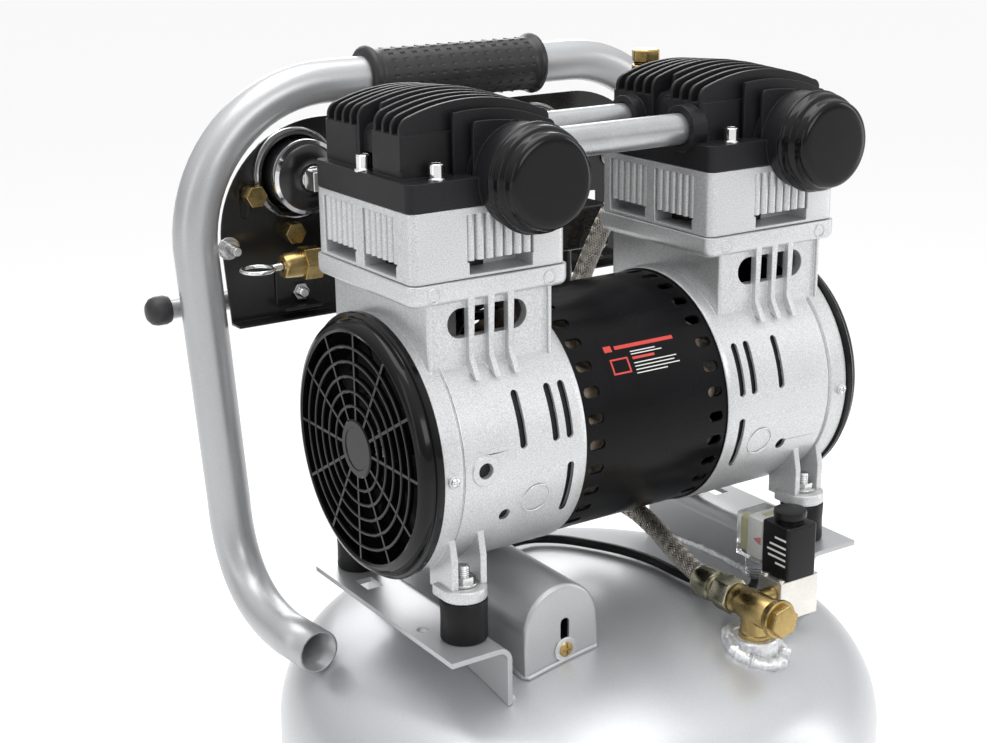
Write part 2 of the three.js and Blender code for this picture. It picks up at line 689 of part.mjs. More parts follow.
// The receiver's outside in the pump's frame, grown by the usual gap.
function dome() {
  return vessel(-GAP, 12, 6).translate([-PUMP[0], -PUMP[1], -PUMP[2]]);
}

function capacitor() {
  return mesh('capacitor', bar('y', 15, -45, 40, COVER.x, COVER.top - 22, 12), '#2b2b2e', 0.5, 0);
}

function checkValve() {
  const { x, z } = VALVE;
  const body = join(
    bar('y', 9, -122, -92, x, z, 12),
    bar('y', 11, -130, -118, x, z, 6),
    bar('y', 10, -92.5, -80, x, z, 6),
    bar('z', 9, -249.1, z, x, -108, 12),
    bar('z', 6.2, -262, -248, x, -108, 12),
    bar('x', 4.5, x + 2, VALVE.block - GAP, -94, z - 3, 12),
  );
  return brass('check_valve', body);
}

function solenoidValve() {
  const { block, stemX, stemY } = VALVE;
  const body = join(box(block, block + 29, -101, -82, -252, -228), bar('z', 5, -229, -188, stemX, stemY, 10));
  return steel('solenoid_valve', body);
}

// Coil with its nut, plug and cable gland: a square winding on the valve's stem.
function solenoidCoil() {
  const { stemX, stemY, gland } = VALVE;
  const coil = box(stemX - 11, stemX + 11, stemY - 11, stemY + 11, -227.6, -196);
  const plug = box(stemX - 12, stemX + 12, stemY + 10, stemY + 34, -224, -196);
  const cuff = bar('z', 6, gland[2], -223, gland[0], gland[1], 12);
  const nut = bar('z', 9.5, -197, -189, stemX, stemY, 12);
  const hole = bar('z', 5.4, -230, -180, stemX, stemY, 10);
  return blackPaint('solenoid_coil', cut(join(coil, plug, cuff, nut), hole));
}

// Braided hose from the check valve, under the motor and up behind it to the right-hand head.
function braidedHose() {
  const route = [
    [VALVE.x, -79.5, VALVE.z], [VALVE.x, -66, -232], [VALVE.x, -44, -227], [VALVE.x, -20, -217],
    [VALVE.x, 2, -211], [VALVE.x, 30, -209], [VALVE.x, 56, -200], [VALVE.x, 74, -175], [42, 79, -140],
    [48, 76, -96], [64, 70, -52], [82, 66, -20], [CYL_X - 4, 67, -4], [CYL_X, OUTLET.y, 8],
    [CYL_X, OUTLET.y, OUTLET.z - 4],
  ];
  const hose = sweep(spline(route), 6, 8, 24);
  return steel('braided_hose', join(hose, bar('z', 9, 8, OUTLET.z, CYL_X, OUTLET.y, 6)));
}

// Lead from the capacitor cover over the dome to the coil's plug.
function coilLead() {
  const [glandX, glandY, glandZ] = VALVE.gland;
  const route = [
    [COVER.x + COVER.r + GAP, 48, -236], [-34, 49, -236.5], [-18, 57, -239], [3, 60, -241], [17, 47, -240],
    [27, 28, -239], [36, 8, -238.6], [42, -12, -239.2], [45, -30, -240.5], [50, -46, -242.8],
    [60, -58, -246.5], [70, -63, -248], [77, -63, -247],
    [glandX, glandY, glandZ - 3], [glandX, glandY, glandZ - GAP],
  ];
  return blackRubber('coil_lead', sweep(spline(route), 2.8, 8, 14));
}

// ---- Assembly -----------------------------------------------------------------------------
const sides = [['left', -1], ['right', 1]];

function tankGroup() {
  const group = new THREE.Group();
  group.add(tankShell(), baseFrame(), axle(), drainValve(), drainLever(), handleTube(), handleGrip());
  group.add(hoseBar(), panelGroup());
  sides.forEach(([name, side]) => {
    group.add(wheel(`wheel_${name}`, side), baseFoot(`base_foot_${name}`, side));
    group.add(pumpBracket(`bracket_${name}`, side));
  });
  return group;
}

function pumpGroup() {
  const group = new THREE.Group();
  group.position.set(...PUMP);
  group.add(motorShell(), stator(), motorShaft(), capacitorCover(), capacitor(), coilLead());
  group.add(checkValve(), solenoidValve(), solenoidCoil(), braidedHose());
  group.add(transferTube('transfer_tube_front', -25), transferTube('transfer_tube_rear', 26));
  sides.forEach(([name, side]) => {
    group.add(crankcase(`crankcase_${name}`, side), cylinderBlock(`cylinder_block_${name}`, side));
    group.add(valvePlate(`valve_plate_${name}`, side), cylinderHead(`cylinder_head_${name}`, side));
    group.add(intakeFilter(`intake_filter_${name}`, side), fanCover(`fan_cover_${name}`, side));
    group.add(coolingFan(`cooling_fan_${name}`, side), connectingRod(`connecting_rod_${name}`, side));
    group.add(rubberMount(`mount_front_${name}`, side, -1), rubberMount(`mount_rear_${name}`, side, 1));
  });
  return group;
}

const compressor = new THREE.Group();
compressor.add(tankGroup(), pumpGroup());
compressor.children.forEach((group) => {
  group.position.y += tankY;
});

export default compressor;
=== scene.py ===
"""Looks of a twin-cylinder oil-free air compressor on a vertical receiver tank.

Lengths in the sections are millimetres in the tank's or the pump's own frame unless a name says
otherwise. Every finished mesh is in metres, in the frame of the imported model.
"""

import math

import bmesh
import bpy
from mathutils import Matrix, Vector, noise


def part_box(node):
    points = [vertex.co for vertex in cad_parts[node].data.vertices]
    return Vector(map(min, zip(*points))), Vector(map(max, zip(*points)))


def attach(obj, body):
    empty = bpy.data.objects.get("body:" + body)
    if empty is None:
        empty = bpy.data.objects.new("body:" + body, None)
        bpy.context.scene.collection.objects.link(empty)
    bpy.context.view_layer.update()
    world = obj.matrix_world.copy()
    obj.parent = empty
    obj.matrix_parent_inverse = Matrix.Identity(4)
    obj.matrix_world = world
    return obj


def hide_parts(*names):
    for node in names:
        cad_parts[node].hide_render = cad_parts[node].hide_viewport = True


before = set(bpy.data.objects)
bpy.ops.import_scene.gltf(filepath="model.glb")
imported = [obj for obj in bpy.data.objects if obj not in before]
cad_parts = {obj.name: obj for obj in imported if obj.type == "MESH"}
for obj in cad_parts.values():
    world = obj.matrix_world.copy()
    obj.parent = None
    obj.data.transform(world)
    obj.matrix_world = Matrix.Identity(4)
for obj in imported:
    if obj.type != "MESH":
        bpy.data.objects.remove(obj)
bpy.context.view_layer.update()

# ---- Camera -------------------------------------------------------------------------------
# A three-quarter view from above the intake side, from a little over a metre away.
camera_place = Vector((-0.5293, -0.7667, 0.9459))
camera_turn = math.radians(-32.961)
camera_drop = math.radians(17.029)
camera_roll = math.radians(-0.721)

camera = bpy.data.objects.new("camera", bpy.data.cameras.new("camera"))
bpy.context.scene.collection.objects.link(camera)
camera.data.lens = 60.245
camera.data.sensor_width = 36
camera.matrix_world = (
    Matrix.Translation(camera_place)
    @ Matrix.Rotation(camera_turn, 4, "Z")
    @ Matrix.Rotation(math.pi / 2 - camera_drop, 4, "X")
    @ Matrix.Rotation(camera_roll, 4, "Z")
)
bpy.context.scene.camera = camera

# ---- Floor and studio light ---------------------------------------------------------------
# A wide pale floor that runs out of view, a pale surround, and soft boxes above, in front and
# behind. The long narrow ones at the sides give the gloss paint its highlights.
floor_bm = bmesh.new()
bmesh.ops.create_grid(floor_bm, x_segments=1, y_segments=1, size=60)
floor_mesh = bpy.data.meshes.new("floor")
floor_bm.to_mesh(floor_mesh)
floor_bm.free()
floor = bpy.data.objects.new("floor", floor_mesh)
bpy.context.scene.collection.objects.link(floor)

floor_paint = bpy.data.materials.new("floor_paint")
floor_paint.use_nodes = True
floor_shader = floor_paint.node_tree.nodes["Principled BSDF"]
floor_shader.inputs["Base Color"].default_value = (0.8, 0.8, 0.8, 1)
floor_shader.inputs["Roughness"].default_value = 0.9
floor_shader.inputs["Emission Color"].default_value = (1, 1, 1, 1)
floor_shader.inputs["Emission Strength"].default_value = 0.14
floor_mesh.materials.append(floor_paint)

world = bpy.data.worlds.new("surround")
world.use_nodes = True
sky = world.node_tree.nodes
height = sky.new("ShaderNodeSeparateXYZ")
sky_light = sky.new("ShaderNodeMapRange")
sky_light.inputs["From Min"].default_value = -0.05
sky_light.inputs["From Max"].default_value = 0.9
sky_light.inputs["To Min"].default_value = 0.3
sky_light.inputs["To Max"].default_value = 1.25
world.node_tree.links.new(sky.new("ShaderNodeTexCoord").outputs["Generated"], height.inputs["Vector"])
world.node_tree.links.new(height.outputs["Z"], sky_light.inputs["Value"])
world.node_tree.links.new(sky_light.outputs["Result"], sky["Background"].inputs["Strength"])
sky["Background"].inputs["Color"].default_value = (1, 1, 1, 1)
bpy.context.scene.world = world
bpy.context.scene.view_settings.view_transform = "Standard"


pump_height = Vector((0, 0, 0.65))


def soft_box(name, place, width, height, watts):
    """A rectangular light that faces the pump from its place."""
    data = bpy.data.lights.new(name, "AREA")
    data.shape = "RECTANGLE"
    data.size = width
    data.size_y = height
    data.energy = watts
    light = bpy.data.objects.new(name, data)
    light.location = place
    light.rotation_euler = (pump_height - Vector(place)).to_track_quat("-Z", "Y").to_euler()
    bpy.context.scene.collection.objects.link(light)


soft_box("top_light", (-0.1, 0.1, 2.3), 1.6, 1.3, 20)
soft_box("left_light", (-1.9, -0.2, 1.2), 0.5, 1.6, 3)
soft_box("front_light", (0.1, -2.2, 1.6), 1.4, 0.8, 13)
soft_box("right_light", (1.7, -0.9, 1.0), 0.4, 1.5, 7)
soft_box("back_light", (0.8, 1.9, 1.5), 1.5, 0.9, 14)

MM = 0.001
tank_low, tank_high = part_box("tank_shell")
TANK = Vector(((tank_low.x + tank_high.x) / 2, (tank_low.y + tank_high.y) / 2, 0))
shell_low, shell_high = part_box("motor_shell")
PUMP = (shell_low + shell_high) / 2 + Vector((0, 0, 132 * MM))

TANK_R = 178
CROWN_R = 380
KNUCKLE_R = 55
STRAIGHT_LOW = 162
STRAIGHT_HIGH = 464
crown_drop = math.sqrt((CROWN_R - KNUCKLE_R) ** 2 - (TANK_R - KNUCKLE_R) ** 2)
crown_turn = math.asin((TANK_R - KNUCKLE_R) / (CROWN_R - KNUCKLE_R))


def shader_group(name, inputs, outputs):
    """A node group with float or colour inputs, its in and out nodes ready to link."""
    group = bpy.data.node_groups.new(name, "ShaderNodeTree")
    for label, kind, value in inputs:
        made_socket = group.interface.new_socket(label, in_out="INPUT", socket_type=kind)
        made_socket.default_value = value
    for label, kind in outputs:
        group.interface.new_socket(label, in_out="OUTPUT", socket_type=kind)
    return group, group.nodes.new("NodeGroupInput"), group.nodes.new("NodeGroupOutput")


FLOAT = "NodeSocketFloat"
COLOR = "NodeSocketColor"

# Two noises over the surface: a broad mottle that carries colour, and a fine grain for bump.
grained, grained_in, grained_out = shader_group(
    "grained_colour",
    [("Light", COLOR, (1, 1, 1, 1)), ("Dark", COLOR, (0, 0, 0, 1)), ("Mottle Scale", FLOAT, 12),
     ("Grain Scale", FLOAT, 900), ("Grain Share", FLOAT, 0.3)],
    [("Color", COLOR), ("Height", FLOAT), ("Mottle", FLOAT)],
)
tree = grained.nodes
place = tree.new("ShaderNodeTexCoord")
mottle = tree.new("ShaderNodeTexNoise")
mottle.inputs["Detail"].default_value = 5
mottle.inputs["Roughness"].default_value = 0.6
grain = tree.new("ShaderNodeTexNoise")
grain.inputs["Detail"].default_value = 2
share = tree.new("ShaderNodeMix")
tone = tree.new("ShaderNodeMix")
tone.data_type = "RGBA"
spread = tree.new("ShaderNodeMapRange")
spread.inputs["From Min"].default_value = 0.32
spread.inputs["From Max"].default_value = 0.68
link = grained.links.new
link(place.outputs["Object"], mottle.inputs["Vector"])
link(place.outputs["Object"], grain.inputs["Vector"])
link(grained_in.outputs["Mottle Scale"], mottle.inputs["Scale"])
link(grained_in.outputs["Grain Scale"], grain.inputs["Scale"])
link(grained_in.outputs["Grain Share"], share.inputs["Factor"])
link(mottle.outputs["Fac"], share.inputs["A"])
link(grain.outputs["Fac"], share.inputs["B"])
link(share.outputs["Result"], spread.inputs["Value"])
link(spread.outputs["Result"], tone.inputs["Factor"])
link(grained_in.outputs["Dark"], tone.inputs["A"])
link(grained_in.outputs["Light"], tone.inputs["B"])
link(tone.outputs["Result"], grained_out.inputs["Color"])
link(grain.outputs["Fac"], grained_out.inputs["Height"])
link(mottle.outputs["Fac"], grained_out.inputs["Mottle"])


def finish(name, light, dark, metal, rough, grain_scale, bump, mottle_scale=12, grain_share=0.3, **fixed):
    """A painted, cast, rubber or bare metal finish: rough is its lowest and highest roughness."""
    material = bpy.data.materials.new(name)
    material.use_nodes = True
    nodes = material.node_tree.nodes
    shader = nodes["Principled BSDF"]
    surface = nodes.new("ShaderNodeGroup")
    surface.node_tree = grained
    surface.inputs["Light"].default_value = (*light, 1)
    surface.inputs["Dark"].default_value = (*dark, 1)
    surface.inputs["Mottle Scale"].default_value = mottle_scale
    surface.inputs["Grain Scale"].default_value = grain_scale
    surface.inputs["Grain Share"].default_value = grain_share
    gloss = nodes.new("ShaderNodeMapRange")
    gloss.inputs["From Min"].default_value = 0.3
    gloss.inputs["From Max"].default_value = 0.7
    gloss.inputs["To Min"].default_value = rough[0]
    gloss.inputs["To Max"].default_value = rough[1]
    relief = nodes.new("ShaderNodeBump")
    relief.inputs["Strength"].default_value = 1
    relief.inputs["Distance"].default_value = bump * MM
    join = material.node_tree.links.new
    join(surface.outputs["Color"], shader.inputs["Base Color"])
    join(surface.outputs["Mottle"], gloss.inputs["Value"])
    join(gloss.outputs["Result"], shader.inputs["Roughness"])
    join(surface.outputs["Height"], relief.inputs["Height"])
    join(relief.outputs["Normal"], shader.inputs["Normal"])
    shader.inputs["Metallic"].default_value = metal
    for socket, value in fixed.items():
        shader.inputs[socket.replace("_", " ")].default_value = value
    return material


def turned(outline, axis="Z", steps=64, centre=(0, 0, 0)):
    """Spins [radius, height] points about an axis. The outline starts and ends where it likes."""
    bm = bmesh.new()
    line = [bm.verts.new((radius, 0, height)) for radius, height in outline]
    edges = [bm.edges.new(pair) for pair in zip(line, line[1:])]
    bmesh.ops.spin(bm, geom=line + edges, cent=(0, 0, 0), axis=(0, 0, 1), dvec=(0, 0, 0),
                   angle=2 * math.pi, steps=steps, use_merge=True)
    bmesh.ops.remove_doubles(bm, verts=bm.verts, dist=1e-4)
    bmesh.ops.recalc_face_normals(bm, faces=bm.faces)
    turns = {"Z": Matrix.Identity(4), "X": Matrix.Rotation(math.pi / 2, 4, "Y"),
             "Y": Matrix.Rotation(-math.pi / 2, 4, "X")}
    bm.transform(Matrix.Translation(centre) @ turns[axis])
    return bm


def added(bm, *others):
    """Puts other loose shapes into one mesh."""
    for other in others:
        mesh = bpy.data.meshes.new("part")
        other.to_mesh(mesh)
        other.free()
        bm.from_mesh(mesh)
        bpy.data.meshes.remove(mesh)
    return bm


def placed(name, bm, origin, material, slot, *nodes, body="root", sharp=35, bevel=0.0):
    """Makes a shape in millimetres into an object in metres, and fits it to the frame."""
    bm.transform(Matrix.Translation(origin) @ Matrix.Scale(MM, 4))
    mesh = bpy.data.meshes.new(name)
    bm.to_mesh(mesh)
    bm.free()
    mesh.shade_smooth()
    mesh.materials.append(material)
    piece = bpy.data.objects.new(name, mesh)
    bpy.context.scene.collection.objects.link(piece)
    if bevel:
        edge = piece.modifiers.new("edge", "BEVEL")
        edge.width = bevel * MM
        edge.segments = 2
        edge.limit_method = "ANGLE"
        edge.angle_limit = math.radians(sharp)
        edge.use_clamp_overlap = False
        edge.harden_normals = True
    else:
        mesh.set_sharp_from_angle(angle=math.radians(sharp))
    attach(piece, body)
    if nodes:
        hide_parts(*nodes)
    return piece


def carried(material, *nodes):
    """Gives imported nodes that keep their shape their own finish."""
    for node in nodes:
        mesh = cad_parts[node].data
        mesh.materials.clear()
        mesh.materials.append(material)


def dome_height(x, y):
    """Height of the top head over a point of the tank's own frame."""
    return STRAIGHT_HIGH - crown_drop + math.sqrt(CROWN_R ** 2 - x * x - y * y)


def head_outline(steps):
    """From the axis to the straight wall, as [radius, rise]."""
    outline = []
    for i in range(steps + 1):
        turn = crown_turn * i / steps
        outline.append((CROWN_R * math.sin(turn), CROWN_R * math.cos(turn) - crown_drop))
    for i in range(1, steps + 1):
        turn = crown_turn + (math.pi / 2 - crown_turn) * i / steps
        outline.append((TANK_R - KNUCKLE_R + KNUCKLE_R * math.sin(turn), KNUCKLE_R * math.cos(turn)))
    return outline


def weld_bead(path, radius, seed):
    """A run of weld along a closed path: rough overlapping ripples of metal."""
    bm = bmesh.new()
    rings = []
    count = len(path)
    for i, point in enumerate(path):
        ahead = (path[(i + 1) % count] - path[i - 1]).normalized()
        side = ahead.orthogonal().normalized()
        up = ahead.cross(side)
        size = radius * (1 + 0.35 * noise.noise(Vector((i * 0.9, seed, 0))))
        ring = []
        for k in range(10):
            turn = 2 * math.pi * k / 10
            wobble = 1 + 0.3 * noise.noise(Vector((i * 0.5, k * 1.7, seed)))
            ring.append(bm.verts.new(point + (side * math.cos(turn)
                                              + up * math.sin(turn)) * size * wobble))
        rings.append([bm.edges.new((ring[k - 1], ring[k])) for k in range(10)])
    for i in range(count):
        bmesh.ops.bridge_loops(bm, edges=rings[i - 1] + rings[i])
    bmesh.ops.recalc_face_normals(bm, faces=bm.faces)
    return bm


silver_paint = finish("silver_paint", (0.48, 0.485, 0.495), (0.38, 0.385, 0.395), 0.55, (0.3, 0.42),
                      1800, 0.012, mottle_scale=7, grain_share=0.55, Coat_Weight=0.25,
                      Coat_Roughness=0.25)
tank_paint = finish("tank_paint", (0.54, 0.55, 0.57), (0.43, 0.44, 0.455), 0.5, (0.3, 0.44), 1800, 0.015,
                    mottle_scale=5, grain_share=0.55, Coat_Weight=0.3, Coat_Roughness=0.2)
weld_paint = finish("weld_paint", (0.85, 0.86, 0.87), (0.45, 0.46, 0.48), 0.6, (0.25, 0.5), 500, 0.25,
                    mottle_scale=160, grain_share=0.4)

top_line = [(radius, STRAIGHT_HIGH + rise) for radius, rise in head_outline(14)]
bottom_line = [(radius, STRAIGHT_LOW - rise) for radius, rise in head_outline(14)][::-1]
wall = [(TANK_R, STRAIGHT_HIGH)]
for seam_height in (STRAIGHT_HIGH - 30, STRAIGHT_LOW + 30):
    wall += [(TANK_R, seam_height + 5), (TANK_R - 1.2, seam_height + 3), (TANK_R - 0.2, seam_height),
             (TANK_R - 1.2, seam_height - 3), (TANK_R, seam_height - 5)]
tank_outline = top_line + wall[1:] + bottom_line
placed("tank", turned(tank_outline, steps=128), TANK, tank_paint, "silver_paint", "tank_shell", sharp=50)

BUNG = (48, -104)
bung_top = dome_height(*BUNG) + 8
bung_line = [(7, bung_top - 20), (7, bung_top - 1), (8, bung_top), (12.2, bung_top), (13, bung_top - 1),
             (13, bung_top - 20)]
placed("valve_bung", turned(bung_line, centre=(*BUNG, 0)), TANK, weld_paint, "silver_paint")
ring_path = []
for i in range(72):
    turn = 2 * math.pi * i / 72
    reach = 15.5 + 1.2 * noise.noise(Vector((i * 0.35, 3, 0)))
    spot = (BUNG[0] + reach * math.cos(turn), BUNG[1] + reach * math.sin(turn))
    ring_path.append(Vector((*spot, dome_height(*spot) + 0.6)))
placed("bung_weld", weld_bead(ring_path, 4.2, 5), TANK, weld_paint, "silver_paint", sharp=60)
drain_line = [(7, 96), (7, 77), (8, 76), (12.2, 76), (13, 77), (13, 92), (17, 96)]
placed("drain_bung", turned(drain_line), TANK, tank_paint, "silver_paint")

# ---- Handle tube --------------------------------------------------------------------------
# One-inch steel tube, bent into a hoop over the tank and forward at the bottom, with its ends
# left open, in the same silver paint as the brackets.
TUBE_R = 12.7
TUBE_WALL = 1.6
HOOP_Y = 131
HOOP_TOP = 828
HOOP_HALF = 172
CORNER_R = 86
CORNER_STEPS = 18
SHOULDER_Z = HOOP_TOP - CORNER_R
MOUTH_Z = 523


def curve_points(start, control, end, steps):
    """Points of a bend from start to end, without its first point."""
    points = []
    for i in range(1, steps + 1):
        t = i / steps
        points.append(start * (1 - t) ** 2 + control * 2 * t * (1 - t) + end * t * t)
    return points


def smooth_path(points, steps):
    """A smooth path through points, with so many steps between each pair."""
    ends = [points[0] * 2 - points[1]] + points + [points[-1] * 2 - points[-2]]
    path = []
    for a, b, c, d in zip(ends, ends[1:], ends[2:], ends[3:]):
        for i in range(steps):
            t = i / steps
            path.append(0.5 * (2 * b + (c - a) * t + (2 * a - 5 * b + 4 * c - d) * t * t
                               + (3 * b - a - 3 * c + d) * t ** 3))
    return path + [points[-1]]


def swept(path, radius, sides=24, capped=True):
    """A round bar along a path: one ring, extruded from each point of the path to the next."""
    ahead = (path[1] - path[0]).normalized()
    side = ahead.orthogonal().normalized()
    bm = bmesh.new()
    turn = Matrix((side, ahead.cross(side), ahead)).transposed().to_4x4()
    ring = bmesh.ops.create_circle(bm, segments=sides, radius=radius, cap_ends=capped,
                                   matrix=Matrix.Translation(path[0]) @ turn)["verts"]
    edges = list(bm.edges)
    for i in range(1, len(path)):
        before = ahead
        ahead = (path[min(i + 1, len(path) - 1)] - path[i - 1]).normalized()
        out = bmesh.ops.extrude_edge_only(bm, edges=edges)["geom"]
        ring = [v for v in out if isinstance(v, bmesh.types.BMVert)]
        edges = [e for e in out if isinstance(e, bmesh.types.BMEdge)]
        bend = before.rotation_difference(ahead).to_matrix().to_4x4()
        move = Matrix.Translation(path[i]) @ bend @ Matrix.Translation(-path[i - 1])
        bmesh.ops.transform(bm, verts=ring, matrix=move)
    if capped:
        bmesh.ops.contextual_create(bm, geom=edges)
    bmesh.ops.recalc_face_normals(bm, faces=bm.faces)
    return bm


def half_hoop(side):
    """The hoop's line from its open mouth up to the middle of the top bar."""
    path = [Vector((side * 154, 35, MOUTH_Z)), Vector((side * 157.5, 66, MOUTH_Z))]
    path += curve_points(path[-1], Vector((side * 159.5, HOOP_Y, MOUTH_Z)),
                         Vector((side * 161.5, HOOP_Y, 588)), 14)
    path += [path[-1].lerp(Vector((side * HOOP_HALF, HOOP_Y, SHOULDER_Z)), i / 4) for i in range(1, 5)]
    centre = Vector((side * (HOOP_HALF - CORNER_R), HOOP_Y, SHOULDER_Z))
    for i in range(1, CORNER_STEPS + 1):
        turn = math.pi / 2 * i / CORNER_STEPS
        path.append(centre + CORNER_R * Vector((side * math.cos(turn), 0, math.sin(turn))))
    return path


tube_bm = swept(half_hoop(-1) + half_hoop(1)[::-1], TUBE_R, sides=40, capped=False)
tube = placed("handle_hoop", tube_bm, TANK, silver_paint, "silver_paint", "handle_tube")
tube_wall = tube.modifiers.new("wall", "SOLIDIFY")
tube_wall.thickness = TUBE_WALL * MM
tube_wall.offset = -1

# ---- Handle grip --------------------------------------------------------------------------
# A moulded black rubber sleeve pushed over the top bar, with a rolled lip at each end and rows
# of small dimples pressed into its skin.
grip_rubber = finish("grip_rubber", (0.024, 0.024, 0.026), (0.013, 0.013, 0.014), 0, (0.34, 0.5),
                     1500, 0.03, mottle_scale=40, Specular_IOR_Level=0.4)
GRIP_HALF = 61
GRIP_R = 16
PLAIN = 9
lip = [(12.9, 0), (14.6, -0.2), (16.6, 0.3), (18.3, 1.8), (18.5, 3.6), (17.6, 5.4), (16.3, 6.6),
       (GRIP_R, PLAIN)]
SKIN_HALF = GRIP_HALF - PLAIN
SKIN_ROWS = 26
SKIN_SIDES = 40
row_length = 2 * SKIN_HALF / SKIN_ROWS
skin = [(GRIP_R, row_length * i - SKIN_HALF) for i in range(SKIN_ROWS + 1)]
grip_line = ([(radius, height - GRIP_HALF) for radius, height in lip] + skin[1:-1]
             + [(radius, GRIP_HALF - height) for radius, height in lip[::-1]])
grip_bm = turned(grip_line, axis="X", steps=SKIN_SIDES, centre=(0, HOOP_Y, HOOP_TOP))
cells = []
for face in grip_bm.faces:
    middle = face.calc_center_median()
    turn = math.atan2(middle.y - HOOP_Y, middle.z - HOOP_TOP)
    row = round((middle.x + SKIN_HALF) / row_length - 0.5)
    column = round(turn / (2 * math.pi / SKIN_SIDES) - 0.5)
    if abs(middle.x) < SKIN_HALF and (row + column) % 2 and row % 2:
        cells.append(face)
bmesh.ops.inset_individual(grip_bm, faces=cells, thickness=0.62, depth=0)
bmesh.ops.inset_individual(grip_bm, faces=cells, thickness=0.3, depth=-0.4)
placed("grip_sleeve", grip_bm, TANK, grip_rubber, "rubber", "handle_grip", sharp=70)

# ---- Hose bar -----------------------------------------------------------------------------
# A plain rod across the back of the legs for hanging the hose, with a ball on each end and a
# short welded spacer at each leg.
SIDES = (("left", -1), ("right", 1))
BAR_Y = HOOP_Y + TUBE_R + 8.3
BAR_Z = 702
BALL = [(6.2, -6), (7.6, -5.6), (8.5, -3), (8.5, 2), (7.6, 5), (5.2, 7.2), (0, 8)]
ball_rubber = finish("ball_rubber", (0.016, 0.016, 0.018), (0.008, 0.008, 0.009), 0, (0.4, 0.55),
                     1200, 0.03)
rod_bm = swept([Vector((x, BAR_Y, BAR_Z)) for x in (-187, -90, 0, 90, 187)], 6, sides=28)
for side in (-1, 1):
    added(rod_bm, swept([Vector((side * 168, HOOP_Y + TUBE_R - 1, BAR_Z)),
                         Vector((side * 168, BAR_Y, BAR_Z))], 4.5))
placed("hose_rod", rod_bm, TANK, silver_paint, "silver_paint", "hose_bar")
for name, side in SIDES:
    ball_place = (side * 188, BAR_Y, BAR_Z)
    ball_bm = turned([(r, side * h) for r, h in BALL], axis="X", steps=32, centre=ball_place)
    placed(f"bar_end_{name}", ball_bm, TANK, ball_rubber, "rubber")

# ---- Base, wheels and drain ---------------------------------------------------------------
# Black steel strips welded under the lower head, two turned rubber feet in front, and a steel
# axle behind with two solid rubber tyres on pressed hubs. A brass ball valve drains the tank.
gloss_black = finish("gloss_black", (0.018, 0.018, 0.017), (0.012, 0.012, 0.012), 0, (0.12, 0.2),
                     900, 0.004, mottle_scale=9, Specular_IOR_Level=0.45)
frame_black = finish("frame_black", (0.014, 0.014, 0.016), (0.008, 0.008, 0.009), 0.1, (0.34, 0.5),
                     1400, 0.03)
bright_steel = finish("bright_steel", (0.8, 0.8, 0.79), (0.58, 0.58, 0.58), 1, (0.16, 0.3), 700, 0.01,
                      mottle_scale=60)
foot_rubber = finish("foot_rubber", (0.014, 0.014, 0.015), (0.008, 0.008, 0.009), 0, (0.6, 0.8),
                     900, 0.06, mottle_scale=50)
tyre_rubber = finish("tyre_rubber", (0.02, 0.02, 0.021), (0.011, 0.011, 0.012), 0, (0.65, 0.85),
                     700, 0.08, mottle_scale=30)
brass = finish("brass", (0.5, 0.37, 0.16), (0.33, 0.235, 0.09), 1, (0.2, 0.38), 500, 0.02,
               mottle_scale=90)
FOOT = (118, -128)
WHEEL = (200, 165, 89)
FOOT_LINE = [(0, 0), (13, 0), (15.6, 0.8), (17.4, 3), (17.6, 5), (14.6, 24.2), (14, 25.4), (0, 25.4)]
FOOT_BOLT = [(0, 34), (3, 34), (5.4, 33), (6, 30.5), (9, 30.4), (9, 30)]
HUB = [(8.4, -22), (18, -22), (20, -20), (22, -8), (54, -7), (60, -12), (61, -17)]
TYRE = [(61, -17), (66, -18.2), (76, -18), (83.5, -16), (87.4, -12), (88.6, -8), (86.6, -7),
        (86.6, -5.6), (88.9, -4.6), (88.9, -1), (87, -0.5)]
AXLE_CAP = [(8, 21), (11, 21), (11, 21.6), (8, 21.9), (0, 22)]


def mirrored_ring(half):
    """A closed wheel section from its outer half: the same points again on the other side."""
    return half + [(r, -h) for r, h in half[::-1]] + half[:1]


carried(frame_black, "base_frame")
carried(bright_steel, "axle")
for name, side in SIDES:
    foot_place = (side * FOOT[0], FOOT[1], 0)
    wheel_place = (side * WHEEL[0], *WHEEL[1:])
    wheel = f"wheel_{name}"
    placed(f"rubber_foot_{name}", turned(FOOT_LINE, steps=48, centre=foot_place), TANK, foot_rubber,
           "rubber", f"base_foot_{name}")
    placed(f"foot_bolt_{name}", turned(FOOT_BOLT, steps=32, centre=foot_place), TANK, bright_steel, "steel")
    hub_bm = turned(mirrored_ring(HUB), axis="X", steps=72, centre=wheel_place)
    placed(f"wheel_hub_{name}", hub_bm, TANK, silver_paint, "silver_paint", body=wheel)
    tyre_bm = turned(mirrored_ring(TYRE), axis="X", steps=96, centre=wheel_place)
    placed(f"tyre_{name}", tyre_bm, TANK, tyre_rubber, "tyre", wheel, body=wheel)
    cap_bm = turned([(r, side * h) for r, h in AXLE_CAP], axis="X", steps=32, centre=wheel_place)
    placed(f"axle_cap_{name}", cap_bm, TANK, bright_steel, "steel")
carried(brass, "drain_valve")
lever_red = finish("lever_red", (0.5, 0.03, 0.02), (0.36, 0.02, 0.015), 0, (0.3, 0.45), 900, 0.02)
carried(lever_red, "drain_lever")

# ---- Control panel ------------------------------------------------------------------------
# A pressed steel sheet in gloss black, bolted to the legs. It faces backwards, so its gauges,
# regulator, pressure switch and manifold show their backs from the pump's side.
PANEL = TANK + Vector((0, HOOP_Y * MM, 0))
PANEL_HALF = 156
PANEL_LOW = 692
PANEL_TOP = 808
PANEL_CORNER = 66
GAUGES = (("tank", -108), ("outlet", 58))
GAUGE_Z = 777
GAUGE_R = 24
KNOB = (-30, 760)
SWITCH = (14, 726)
COUPLER = (72, 724)


